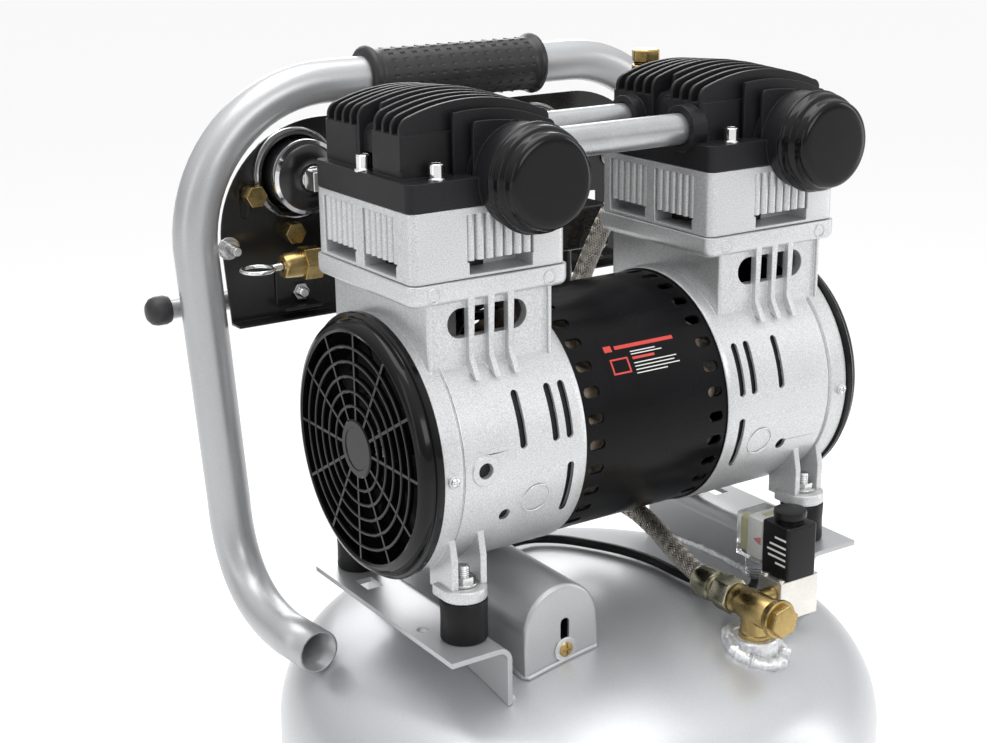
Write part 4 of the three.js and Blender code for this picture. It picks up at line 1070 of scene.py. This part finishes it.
FIN_ROWS = (41.5, 33.2, 24.9, 16.6, 8.6, -0.6, -8.6, -16.6, -24.6, -32.6)
for name, side in SIDES:
    plate = prism(rounded(-HEAD_X, HEAD_X, -50, 50, 5), "Z", HEAD_LOW, HEAD_PLATE)
    rear = prism(rounded(-HEAD_X + 5, HEAD_X, 8.6, HEAD_Y, 3), "Z", HEAD_PLATE - 1, EAVE + 1)
    front = prism(rounded(-HEAD_X + 5, HEAD_X, -35.2, -3.5, 3), "Z", HEAD_PLATE - 1, EAVE + 1)
    core = prism(rounded(-HEAD_X + 13, HEAD_X - 2, -34.4, HEAD_Y - 2, 3), "Z", HEAD_PLATE - 1, EAVE - 5)
    casting = fused(plate, rear, front, core)
    crest_core = prism(arched(HEAD_X - 8, EAVE - 12, CREST - 11, 6), "Y", -30, HEAD_Y - 4)
    casting = fused(casting, crest_core)
    for y in FIN_ROWS:
        left = (13 if abs(y) < 2 else 5) - HEAD_X
        casting = fused(casting, fin(y, 2.4, left, EAVE - 16, CREST - 0.06 * abs(y - 4)))
    for y, left, crest in ((-38.6, -15, CREST - 7), (-44.6, -7, CREST - 12)):
        casting = fused(casting, fin(y, 2.2, left, HEAD_PLATE - 1, crest))
    housing = fused(disc("Y", INTAKE, 27, -59, -34, 64), disc("Y", INTAKE, 27.8, -59, -56.4, 64))
    housing = carved(housing, block(-60, 60, -BLOCK_Y - 0.3, 60, -30, HEAD_LOW))
    casting = fused(casting, housing)
    for y in PORTS.values():
        boss = disc("X", (y, PORT_Z), 13, *across(-side, HEAD_X - 8, HEAD_X + 2.4), 48)
        casting = fused(casting, boss)
    if side > 0:
        arm = swept([Vector((0, y, z)) for y, z in ((44, 28), (56, 28), (63, 29), (67, 33), (68, 40))], 8.2)
        casting = fused(casting, arm, disc("Z", (0, HOSE_END[1]), 9.2, 20.4, 38, 40))
    sockets = [disc("X", (y, PORT_Z), 9.2, *across(-side, 30, HEAD_X + 6), 40) for y in PORTS.values()]
    casting = carved(casting, *sockets, disc("Y", INTAKE, 8.5, -62, -30, 32))
    casting.transform(Matrix.Translation((side * CYL, 0, 0)))
    placed(f"finned_head_{name}", casting, PUMP, black_cast, "black_cast", f"cylinder_head_{name}",
           sharp=38, bevel=0.45)
    screws = bmesh.new()
    for x, y in ((-HEAD_X + 4.6, 3), (-27, -43), (HEAD_X - 6, 3), (40, 45.8)):
        added(screws, socket_screw(side * CYL + x, y, HEAD_PLATE + 0.4))
    placed(f"head_screws_{name}", screws, PUMP, chrome, "steel", bevel=0.25)
nut_bm = added(hexagon("Z", HOSE_END, 9.2, 38, 46.4), disc("Z", HOSE_END, 7.4, 46.2, 48.2),
               hexagon("Z", HOSE_END, 9.2, 48, 55.4))
placed("delivery_nut", nut_bm, PUMP, brass, "brass", bevel=1.1)

# ---- Intake filters -----------------------------------------------------------------------
# Round silencers in gloss black pressed steel, stepped like a cap, clamped over each intake.
filter_black = finish("filter_black", (0.006, 0.006, 0.007), (0.0035, 0.0035, 0.004), 0,
                      (0.14, 0.22), 900, 0.003, mottle_scale=16, Specular_IOR_Level=0.25)
CAN = [(0, -59.6), (27.8, -59.6), (28.5, -60), (28.5, -61.2), (27.9, -61.7), (27.4, -62.2),
       (27.3, -66.4), (26.9, -67.8), (25.9, -68.7), (25, -69.2), (24.6, -70), (24.5, -73.2),
       (24, -74.9), (22.8, -76), (21, -76.4), (18, -76.5), (0, -76.5)]
for name, side in SIDES:
    can_bm = turned(CAN, axis="Y", steps=96, centre=(side * CYL + INTAKE[0], 0, INTAKE[1]))
    placed(f"filter_can_{name}", can_bm, PUMP, filter_black, "black_plastic", f"intake_filter_{name}",
           sharp=60)

# ---- Fan covers and fans ------------------------------------------------------------------
# A moulded black cover clips over each end of the motor: three steps down from its rim to a
# grille of rings and thin spokes round a hub disc. A seven-bladed fan turns behind each one.
cover_black = finish("cover_black", (0.004, 0.004, 0.0045), (0.0025, 0.0025, 0.003), 0, (0.1, 0.18),
                     1000, 0.004, mottle_scale=14, Specular_IOR_Level=0.25)
fan_black = finish("fan_black", (0.005, 0.005, 0.006), (0.003, 0.003, 0.004), 0, (0.4, 0.55), 900, 0.02,
                   Specular_IOR_Level=0.15)
RING_RADII = (23, 31, 39, 47, 55)
COVER_RIM = [(66.6, 138.3), (72, 138.3), (72.6, 138.9), (72.6, 141.6), (72, 142.4), (70.3, 142.8),
             (69.9, 143.4), (69.8, 144.8), (69.4, 146.2), (68.6, 147.5), (67.4, 148.6), (65.9, 149.4),
             (64.2, 149.8), (62.8, 149.2), (62.6, 147), (65, 146.4), (66.6, 144), (66.6, 138.3)]
RING = [(-0.9, 146.8), (0.9, 146.8), (0.9, 149.2), (0.4, 149.6), (-0.4, 149.6), (-0.9, 149.2),
        (-0.9, 146.8)]
HUB_DISC = [(0, 146.6), (16, 146.6), (16, 149.4), (15, 149.9), (12, 149.9), (11.4, 149.4), (0, 149.4)]
SPOKES = 12
FAN_HUB = [(8.3, 118), (13, 118), (14, 119), (14, 134), (13, 135), (8.3, 135), (8.3, 118)]
BLADES = 7
BLADE_ROOT = 13
BLADE_LENGTH = 45


def fan_blade():
    """A bowed blade that widens and flattens from its root to its tip."""
    bm = bmesh.new()
    bmesh.ops.create_grid(bm, x_segments=4, y_segments=10, size=0.5)
    for vert in bm.verts:
        out = vert.co.y + 0.5
        across_blade = vert.co.x * (8 + 11 * out)
        pitch = math.radians(50 - 22 * out)
        bow = 2.2 * (1 - (2 * vert.co.x) ** 2)
        vert.co = Vector((across_blade * math.sin(pitch) + bow, across_blade * math.cos(pitch) * 1.7,
                          BLADE_ROOT + out * BLADE_LENGTH))
    bmesh.ops.solidify(bm, geom=list(bm.faces), thickness=1.4)
    return bm


for name, side in SIDES:
    cover = side_turned(side, COVER_RIM)
    for radius in RING_RADII:
        added(cover, side_turned(side, [(radius + r, x) for r, x in RING], 72))
    added(cover, side_turned(side, HUB_DISC, 48))
    for i in range(SPOKES):
        spoke = block(*across(side, 147, 149.3), -0.8, 0.8, 15, 63.4)
        turn = 2 * math.pi * i / SPOKES
        spoke.transform(Matrix.Translation((0, 0, AXIS)) @ Matrix.Rotation(turn, 4, "X"))
        added(cover, spoke)
    placed(f"grille_{name}", cover, PUMP, cover_black, "black_plastic", f"fan_cover_{name}", sharp=26)
    fan = side_turned(side, FAN_HUB, 48)
    for i in range(BLADES):
        blade = fan_blade()
        blade.transform(Matrix.Translation((side * 127, 0, AXIS))
                        @ Matrix.Rotation(2 * math.pi * i / BLADES, 4, "X")
                        @ Matrix.Scale(side, 4, (1, 0, 0)))
        bmesh.ops.recalc_face_normals(blade, faces=blade.faces)
        added(fan, blade)
    placed(f"fan_{name}", fan, PUMP, fan_black, "black_plastic", f"cooling_fan_{name}",
           body="rotor", sharp=45)

# ---- Motor --------------------------------------------------------------------------------
# A rolled steel shell in satin black between the crankcases, with a row of punched vents near
# each end that shows the stator and its copper windings, and a plain rating patch.
shell_black = finish("shell_black", (0.007, 0.007, 0.008), (0.004, 0.004, 0.0045), 0, (0.2, 0.3),
                     1200, 0.008, mottle_scale=10, Specular_IOR_Level=0.1)
SHELL_OUT = 68.5
SHELL_IN = SHELL_OUT - 1.6
SHELL_HALF = 51.7
VENTS = 30
shell_line = [(SHELL_IN, -SHELL_HALF), (SHELL_OUT, -SHELL_HALF), (SHELL_OUT, SHELL_HALF),
              (SHELL_IN, SHELL_HALF), (SHELL_IN, -SHELL_HALF)]
vent_punches = bmesh.new()
for i in range(VENTS):
    for x in (-41, 41):
        punch = prism(rounded(x - 5, x + 5, -2.9, 2.9, 2.6, 5), "Z", 60, 75)
        punch.transform(Matrix.Translation((0, 0, AXIS))
                        @ Matrix.Rotation((i + 0.5) * 2 * math.pi / VENTS, 4, "X"))
        added(vent_punches, punch)
shell = carved(side_turned(1, shell_line, 120), vent_punches)
placed("motor_casing", shell, PUMP, shell_black, "black_paint", "motor_shell", sharp=30)
core_steel = finish("core_steel", (0.7, 0.68, 0.64), (0.45, 0.43, 0.4), 0.6, (0.4, 0.6), 600, 0.1,
                    mottle_scale=60)
winding_tape = finish("winding_tape", (0.66, 0.58, 0.47), (0.36, 0.24, 0.16), 0.1, (0.4, 0.6), 900,
                      0.2, mottle_scale=150)
core = side_turned(1, [(41.2, -31), (65.8, -31), (65.8, 31), (41.2, 31), (41.2, -31)], 96)
placed("stator_core", core, PUMP, core_steel, "copper_winding", "stator")
COILS = 12
COIL_R = 54
COIL_STEPS = 16
windings = bmesh.new()
for i in range(COILS):
    for end in (-1, 1):
        loop = []
        for k in range(COIL_STEPS + 1):
            angle = (i + 0.5) * 2 * math.pi / COILS + (k / COIL_STEPS - 0.5) * 0.46
            reach = 31 + 16 * math.sin(math.pi * k / COIL_STEPS)
            loop.append(Vector((end * reach, COIL_R * math.cos(angle), AXIS + COIL_R * math.sin(angle))))
        added(windings, swept(loop, 5.6, sides=12))
placed("stator_windings", windings, PUMP, winding_tape, "copper_winding")
carried(bright_steel, "motor_shaft")
carried(cast_silver, "connecting_rod_left", "connecting_rod_right")
patch_white = finish("patch_white", (0.75, 0.75, 0.73), (0.66, 0.66, 0.64), 0, (0.4, 0.5), 900, 0.004)
patch_red = finish("patch_red", (0.62, 0.05, 0.04), (0.5, 0.04, 0.03), 0, (0.4, 0.5), 900, 0.004)


def shell_patch(x0, x1, low, high, lift):
    """A thin sticker on the front of the shell, from one angle above the horizontal to another."""
    line = [(SHELL_OUT + lift, math.radians(low + (high - low) * i / 12)) for i in range(13)]
    bm = bmesh.new()
    row = [bm.verts.new((x0, -r * math.cos(a), AXIS + r * math.sin(a))) for r, a in line]
    edges = [bm.edges.new(pair) for pair in zip(row, row[1:])]
    new = bmesh.ops.extrude_edge_only(bm, edges=edges)["geom"]
    bmesh.ops.translate(bm, verts=[v for v in new if isinstance(v, bmesh.types.BMVert)],
                        vec=(x1 - x0, 0, 0))
    bmesh.ops.solidify(bm, geom=list(bm.faces), thickness=0.06)
    bmesh.ops.recalc_face_normals(bm, faces=bm.faces)
    return bm


placed("rating_patch", shell_patch(-27, 27, 17, 47, 0.12), PUMP, shell_black, "black_paint")
RED_BARS = ((-25, -20, 40, 43), (-18, 22, 40.6, 42.4), (-24, -12, 29, 29.8), (-24, -12, 35.6, 36.4),
            (-24, -23, 29.8, 35.6), (-13, -12, 29.8, 35.6), (-9, 6, 34.6, 35.8))
WHITE_BARS = ((-9, 8, 38.2), (-9, 12, 36.9), (-9, 20, 32.6), (-9, 18, 31), (-9, 21, 29.4), (-9, 12, 27.8))
red_marks = added(*[shell_patch(*bar, 0.2) for bar in RED_BARS])
placed("rating_red_bars", red_marks, PUMP, patch_red, "black_paint")
white_marks = added(*[shell_patch(x0, x1, low, low + 0.45, 0.2) for x0, x1, low in WHITE_BARS])
placed("rating_white_bars", white_marks, PUMP, patch_white, "black_paint")

# ---- Transfer tubes -----------------------------------------------------------------------
# Two drawn aluminium tubes join the heads, pushed into their sockets on rubber rings.
drawn_tube = finish("drawn_tube", (0.5, 0.51, 0.52), (0.35, 0.36, 0.37), 0.85, (0.24, 0.36), 1300,
                    0.05, mottle_scale=30, grain_share=0.5)
reach = CYL - HEAD_X + 4
tube_line = [(7.2, -reach), (8.7, -reach), (8.7, reach), (7.2, reach), (7.2, -reach)]
for label, y in PORTS.items():
    tube_bm = turned(tube_line, axis="X", steps=48, centre=(0, y, PORT_Z))
    placed(f"crossover_{label}", tube_bm, PUMP, drawn_tube, "aluminium_tube",
           f"transfer_tube_{label}", sharp=45)

# ---- Capacitor cover ----------------------------------------------------------------------
# A pressed steel housing for the motor's capacitor under the pump, in silver paint, shaped like
# a loaf, with a flared foot on the tank, a keyhole and a brass screw in its front, and a grommet.
COVER_X = -67
COVER_R = 24
COVER_FRONT = -72
COVER_BACK = 60
COVER_TOP = -205
COVER_WALL = 1.6


def loaf(radius, low):
    """The cover's outline: upright sides from a low edge, and a round top."""
    dome = arc((COVER_X, COVER_TOP - COVER_R), radius, 0, 180, 32)
    return [(COVER_X - radius, low), (COVER_X + radius, low)] + dome


hood = eased(prism(loaf(COVER_R, -300), "Y", COVER_FRONT, COVER_BACK),
             lambda e: all(abs(v.co.y - COVER_FRONT) < 0.01 for v in e.verts)
             and min(v.co.z for v in e.verts) > -299, 2.6, 5)
inner = prism(loaf(COVER_R - COVER_WALL, -310), "Y", COVER_FRONT + 1.8, COVER_BACK - 1.8)
keyhole = prism(rounded(COVER_X - 0.8, COVER_X + 4.8, -238, -225, 2.7), "Y", -80, -60)
lead_hole = disc("X", (48, -236), 3.4, COVER_X + 10, COVER_X + 30, 24)
hood = carved(hood, inner, tank_dome(0.3), keyhole, lead_hole)
placed("capacitor_hood", hood, PUMP, silver_paint, "silver_paint", "capacitor_cover",
       sharp=40, bevel=0.3)
LIP_STEPS = 48
SIDE_SHARE = 0.34
lip_back = COVER_BACK - 4
lip_line = []
for i in range(LIP_STEPS + 1):
    t = i / LIP_STEPS
    if t < SIDE_SHARE:
        spot = (COVER_X + COVER_R + 0.2, lip_back - (lip_back - COVER_FRONT) * t / SIDE_SHARE)
    elif t < 1 - SIDE_SHARE:
        gone = (t - SIDE_SHARE) / (1 - 2 * SIDE_SHARE)
        spot = (COVER_X + COVER_R - 2 * COVER_R * gone, COVER_FRONT - 0.4)
    else:
        gone = (t - 1 + SIDE_SHARE) / SIDE_SHARE
        spot = (COVER_X - COVER_R - 0.2, COVER_FRONT + (lip_back - COVER_FRONT) * gone)
    lip_line.append(Vector((*spot, on_tank(*spot) + 1.1)))
placed("hood_lip", swept(lip_line, 1.3, sides=12), PUMP, silver_paint, "silver_paint")
brass_screw = turned([(0, 2), (2.8, 1.9), (4.4, 1), (4.8, 0), (0, 0)], axis="Y", steps=32)
brass_screw = carved(brass_screw, *[block(-a, a, 1.2, 4, -b, b) for a, b in ((4.2, 0.6), (0.6, 4.2))])
washer = turned([(0, -0.1), (7, -0.1), (7, 0.7), (4.8, 0.9), (0, 0.9)], axis="Y", steps=32)
screw_place = Matrix.Translation((COVER_X + 2, COVER_FRONT - 0.2, -243))
for shape in (brass_screw, washer):
    shape.transform(screw_place @ Matrix.Rotation(math.pi, 4, "Z"))
placed("hood_screw", brass_screw, PUMP, brass, "brass", bevel=0.15)
placed("hood_washer", washer, PUMP, bright_steel, "steel")
grommet_line = [(3.2, -2), (8, -2), (9.2, -1), (9.2, 2.5), (12.6, 3), (13.4, 4.5), (13, 10),
                (11, 13), (6, 14.4), (0, 14.6)]
grommet = turned(grommet_line, axis="X", steps=40, centre=(COVER_X + COVER_R, -18, -240))
placed("hood_grommet", grommet, PUMP, moulded_black, "black_plastic")
carried(moulded_black, "capacitor")

# ---- Check valve and unloader -------------------------------------------------------------
# A brass check valve screwed into the tank's bung takes the braided hose. Beside it a nickelled
# solenoid block with its square coil, round nut and clear plug bleeds the hose when it stops.
VALVE_X = 40
VALVE_Z = -233
VALVE_Y = -108
VALVE = (VALVE_X, 0, VALVE_Z)
STEM = (79.5, -90)
GLAND = (79.5, -63)
nickel = finish("nickel", (0.78, 0.76, 0.72), (0.6, 0.58, 0.54), 0.9, (0.28, 0.42), 900, 0.02,
                mottle_scale=40)
plated = finish("plated", (0.5, 0.48, 0.36), (0.34, 0.33, 0.24), 1, (0.16, 0.3), 700, 0.02,
                mottle_scale=60)
coil_black = finish("coil_black", (0.006, 0.006, 0.007), (0.004, 0.004, 0.005), 0, (0.24, 0.36),
                    900, 0.01, Specular_IOR_Level=0.25)
body_line = [(0, -124), (8.6, -124), (9, -123), (9, -121.6), (8.7, -121.2), (9, -120.8), (9, -100),
             (8.4, -99), (8.2, -95), (8.8, -93.6), (8.8, -92.4), (0, -92.4)]
collar_line = [(0, -250), (9.2, -250), (9.6, -248.6), (9.2, -247), (0, -247)]
valve_bm = fused(turned(body_line, axis="Y", steps=64, centre=VALVE),
                 disc("Z", (VALVE_X, VALVE_Y), 8.6, -247, VALVE_Z, 48),
                 turned(collar_line, steps=48, centre=(VALVE_X, VALVE_Y, 0)),
                 disc("Z", (VALVE_X, VALVE_Y), 6.6, -262, -248, 40),
                 disc("X", (-94, VALVE_Z - 3), 4.6, VALVE_X, 64.2, 32))
placed("valve_body", valve_bm, PUMP, brass, "brass", "check_valve", sharp=40, bevel=0.3)
cap_line = [(0, -124.2), (10.6, -124.2), (11, -124.8), (11, -126.8), (10.4, -127.6), (0, -127.6)]
cap_hexagon = eased(hexagon("Y", (VALVE_X, VALVE_Z), 9.6, -131.8, -127, 15),
                    lambda e: all(v.co.y < -131 for v in e.verts), 1, 3)
cap = added(turned(cap_line, axis="Y", steps=64, centre=VALVE), cap_hexagon)
placed("valve_cap", cap, PUMP, brass, "brass", sharp=30)
nut = eased(hexagon("Y", (VALVE_X, VALVE_Z), 10.8, -91.6, -78.5, 8), lambda e: True, 0.9, 2)
ferrule_line = [(0, -78.6), (7.6, -78.6), (7.8, -76.4), (7, -75.6), (7, -74.6), (8.8, -73.8),
                (9.2, -72.4), (9.2, -62.2), (8.6, -60.6), (7, -60.2), (0, -60.2)]
ferrule = turned(ferrule_line, axis="Y", steps=64, centre=VALVE)
placed("hose_nut", nut, PUMP, plated, "brass", sharp=25)
placed("hose_ferrule", ferrule, PUMP, plated, "brass", sharp=45)
solenoid = prism(rounded(64.5, 93.5, -101, -82, 1.2), "Z", -252, -228)
solenoid = fused(solenoid, disc("Z", STEM, 5, -229, -190, 32))
for spot in ((67.6, -98), (67.6, -85), (90.4, -98), (90.4, -85)):
    solenoid = fused(solenoid, disc("Z", spot, 1.9, -229, -226.9, 20))
solenoid = carved(solenoid, disc("Z", (79, -91.5), 4.6, -256, -248, 32))
placed("unloader_block", solenoid, PUMP, nickel, "steel", "solenoid_valve", sharp=35, bevel=0.4)
coil = eased(prism(rounded(68.2, 90.8, -101.2, -79, 2.4), "Z", -227.6, -196),
             lambda e: all(v.co.z > -196.1 for v in e.verts), 1.4)
nut_line = [(0, -196.2), (8.2, -196.2), (8.2, -194.8), (7.4, -194.4), (7.4, -193.4), (9.3, -193),
            (9.5, -190.6), (9.2, -189.2), (8, -188.8), (0, -188.8)]
coil = added(coil, turned(nut_line, steps=48, centre=(*STEM, 0)))
placed("coil_body", coil, PUMP, coil_black, "black_plastic", "solenoid_coil", sharp=35)
bars = bmesh.new()
for width, z in ((9, -203.4), (13, -208), (15, -211.6), (14, -215.2), (8, -218.8)):
    added(bars, block(67.96, 68.18, -99.5, -99.5 + width, z - 0.55, z + 0.55))
placed("coil_marks", bars, PUMP, patch_white, "black_plastic")
clear_plastic = finish("clear_plastic", (0.93, 0.95, 0.95), (0.88, 0.9, 0.9), 0, (0.08, 0.16), 300, 0.003,
                       Transmission_Weight=0.85, IOR=1.3)
plug = eased(prism(rounded(68, 91, -79, -57, 2.5), "Z", -224, -197.6),
             lambda e: all(v.co.z > -197.7 for v in e.verts), 1.6, 3)
placed("plug_shell", plug, PUMP, clear_plastic, "black_plastic", sharp=35)
insert = prism(rounded(70, 89.6, -78.6, -66, 1), "Z", -222.6, -199)
placed("plug_insert", insert, PUMP, patch_white, "black_plastic", bevel=0.4)
mark = prism([(-77, -208.5), (-71.5, -211), (-77, -213.5)], "X", 69.7, 69.95)
placed("plug_arrow", mark, PUMP, patch_red, "black_plastic")
lens = added(block(70.6, 74, -65.8, -60, -221, -201), block(76, 88, -74, -70, -198.9, -197.8))
label_yellow = finish("label_yellow", (0.55, 0.5, 0.2), (0.45, 0.4, 0.15), 0, (0.4, 0.5), 900, 0.01)
placed("plug_label", lens, PUMP, label_yellow, "black_plastic", bevel=0.3)
GLAND_RIBS = 8
GLAND_PITCH = 1.7
RIB_LINE = [(5.6, -238.4), (6.3, -237.9), (6.3, -237.3), (5.6, -236.9)]
gland_line = [(2.9, -240), (5.2, -240), (5.6, -239)]
for i in range(GLAND_RIBS):
    gland_line += [(r, z + GLAND_PITCH * i) for r, z in RIB_LINE]
gland_line += [(6, -224), (2.9, -224)]
gland = turned(gland_line, steps=48, centre=(*GLAND, 0))
placed("plug_gland", gland, PUMP, clear_plastic, "black_plastic")

# ---- Braided hose and coil lead -----------------------------------------------------------
# The delivery hose has a sheath of plaited stainless wire over rubber. It runs from the valve up
# behind the motor to the right-hand head. A thin black lead feeds the coil over the tank's dome.
HOSE_R = 6
HOSE_ROUTE = [
    (VALVE_X, -79.5, VALVE_Z), (VALVE_X, -66, -232), (VALVE_X, -44, -227), (VALVE_X, -20, -217),
    (VALVE_X, 2, -211), (VALVE_X, 30, -209), (VALVE_X, 56, -200), (VALVE_X, 74, -175), (42, 79, -140),
    (48, 76, -96), (64, 70, -52), (82, 66, -20), (CYL - 4, 67, -4), (*HOSE_END, 8), (*HOSE_END, 16),
]
hose_line = smooth_path([Vector(point) for point in HOSE_ROUTE], 8)
hose_core = finish("hose_core", (0.05, 0.05, 0.05), (0.03, 0.03, 0.03), 0.2, (0.5, 0.7), 900, 0.02)
placed("hose_core", swept(hose_line, HOSE_R - 0.5, sides=32), PUMP, hose_core, "braid", "braided_hose")
braid_wire = finish("braid_wire", (0.62, 0.59, 0.53), (0.42, 0.39, 0.34), 1, (0.2, 0.36), 900, 0.01,
                    mottle_scale=200)
lengths = [0]
for a, b in zip(hose_line, hose_line[1:]):
    lengths.append(lengths[-1] + (b - a).length)
hose_sides = []
ahead = (hose_line[1] - hose_line[0]).normalized()
out = ahead.orthogonal().normalized()
for i in range(len(hose_line)):
    new_ahead = (hose_line[min(i + 1, len(hose_line) - 1)] - hose_line[max(i - 1, 0)]).normalized()
    out = ahead.rotation_difference(new_ahead).to_matrix() @ out
    ahead = new_ahead
    hose_sides.append((out.copy(), ahead.cross(out)))


def on_hose(distance, turn, radius):
    """A point on the hose: so far along it, at an angle round it."""
    i = 0
    while i < len(lengths) - 2 and lengths[i + 1] < distance:
        i += 1
    t = (distance - lengths[i]) / (lengths[i + 1] - lengths[i])
    middle = hose_line[i].lerp(hose_line[i + 1], t)
    side_a = hose_sides[i][0].lerp(hose_sides[i + 1][0], t)
    side_b = hose_sides[i][1].lerp(hose_sides[i + 1][1], t)
    return middle + (side_a * math.cos(turn) + side_b * math.sin(turn)) * radius


STRANDS = 20
TURN_LENGTH = 60
BRAID_START = 20
BRAID_STEP = 2
HALF_WIDTH = 0.1
braid_steps = int((lengths[-1] - 2 - BRAID_START) / BRAID_STEP)
braid = bmesh.new()
for strand in range(STRANDS):
    for way in (-1, 1):
        previous = None
        for i in range(braid_steps + 1):
            distance = BRAID_START + BRAID_STEP * i
            turn = 2 * math.pi * (strand / STRANDS + way * distance / TURN_LENGTH)
            weave = 0.16 * way * math.cos(STRANDS * 2 * math.pi * distance / TURN_LENGTH)
            row = [braid.verts.new(on_hose(distance, turn + HALF_WIDTH * end, HOSE_R - 0.36 + weave))
                   for end in (-1, 0, 1)]
            if previous:
                for k in range(2):
                    braid.faces.new((previous[k], previous[k + 1], row[k + 1], row[k]))
            previous = row
bmesh.ops.recalc_face_normals(braid, faces=braid.faces)
sheath = placed("hose_braid", braid, PUMP, braid_wire, "braid", sharp=60)
wire = sheath.modifiers.new("wire", "SOLIDIFY")
wire.thickness = 0.3 * MM
wire.offset = 0
ferrule_line = [(0, 6), (6.8, 6), (8.6, 7), (9, 8.6), (9, 15), (7.2, 16.6), (0, 16.6)]
top_ferrule = added(turned(ferrule_line, steps=48, centre=(*HOSE_END, 0)),
                    hexagon("Z", HOSE_END, 9.8, 12, 19.9))
placed("head_ferrule", top_ferrule, PUMP, plated, "brass", sharp=40)
lead_rubber = finish("lead_rubber", (0.008, 0.008, 0.009), (0.005, 0.005, 0.006), 0, (0.3, 0.42),
                     900, 0.01)
LEAD_ROUTE = [
    (COVER_X + COVER_R - 1, 48, -236), (-34, 49, -236.5), (-18, 57, -239), (3, 60, -241),
    (17, 47, -240), (27, 28, -239), (36, 8, -238.6), (42, -12, -239.2), (45, -30, -240.5),
    (50, -46, -242.8), (60, -58, -246.5), (70, -63, -248), (77, -63, -247), (*GLAND, -243),
    (*GLAND, -239),
]
lead = swept(smooth_path([Vector(point) for point in LEAD_ROUTE], 8), 2.8, sides=20)
placed("coil_wire", lead, PUMP, lead_rubber, "rubber", "coil_lead")
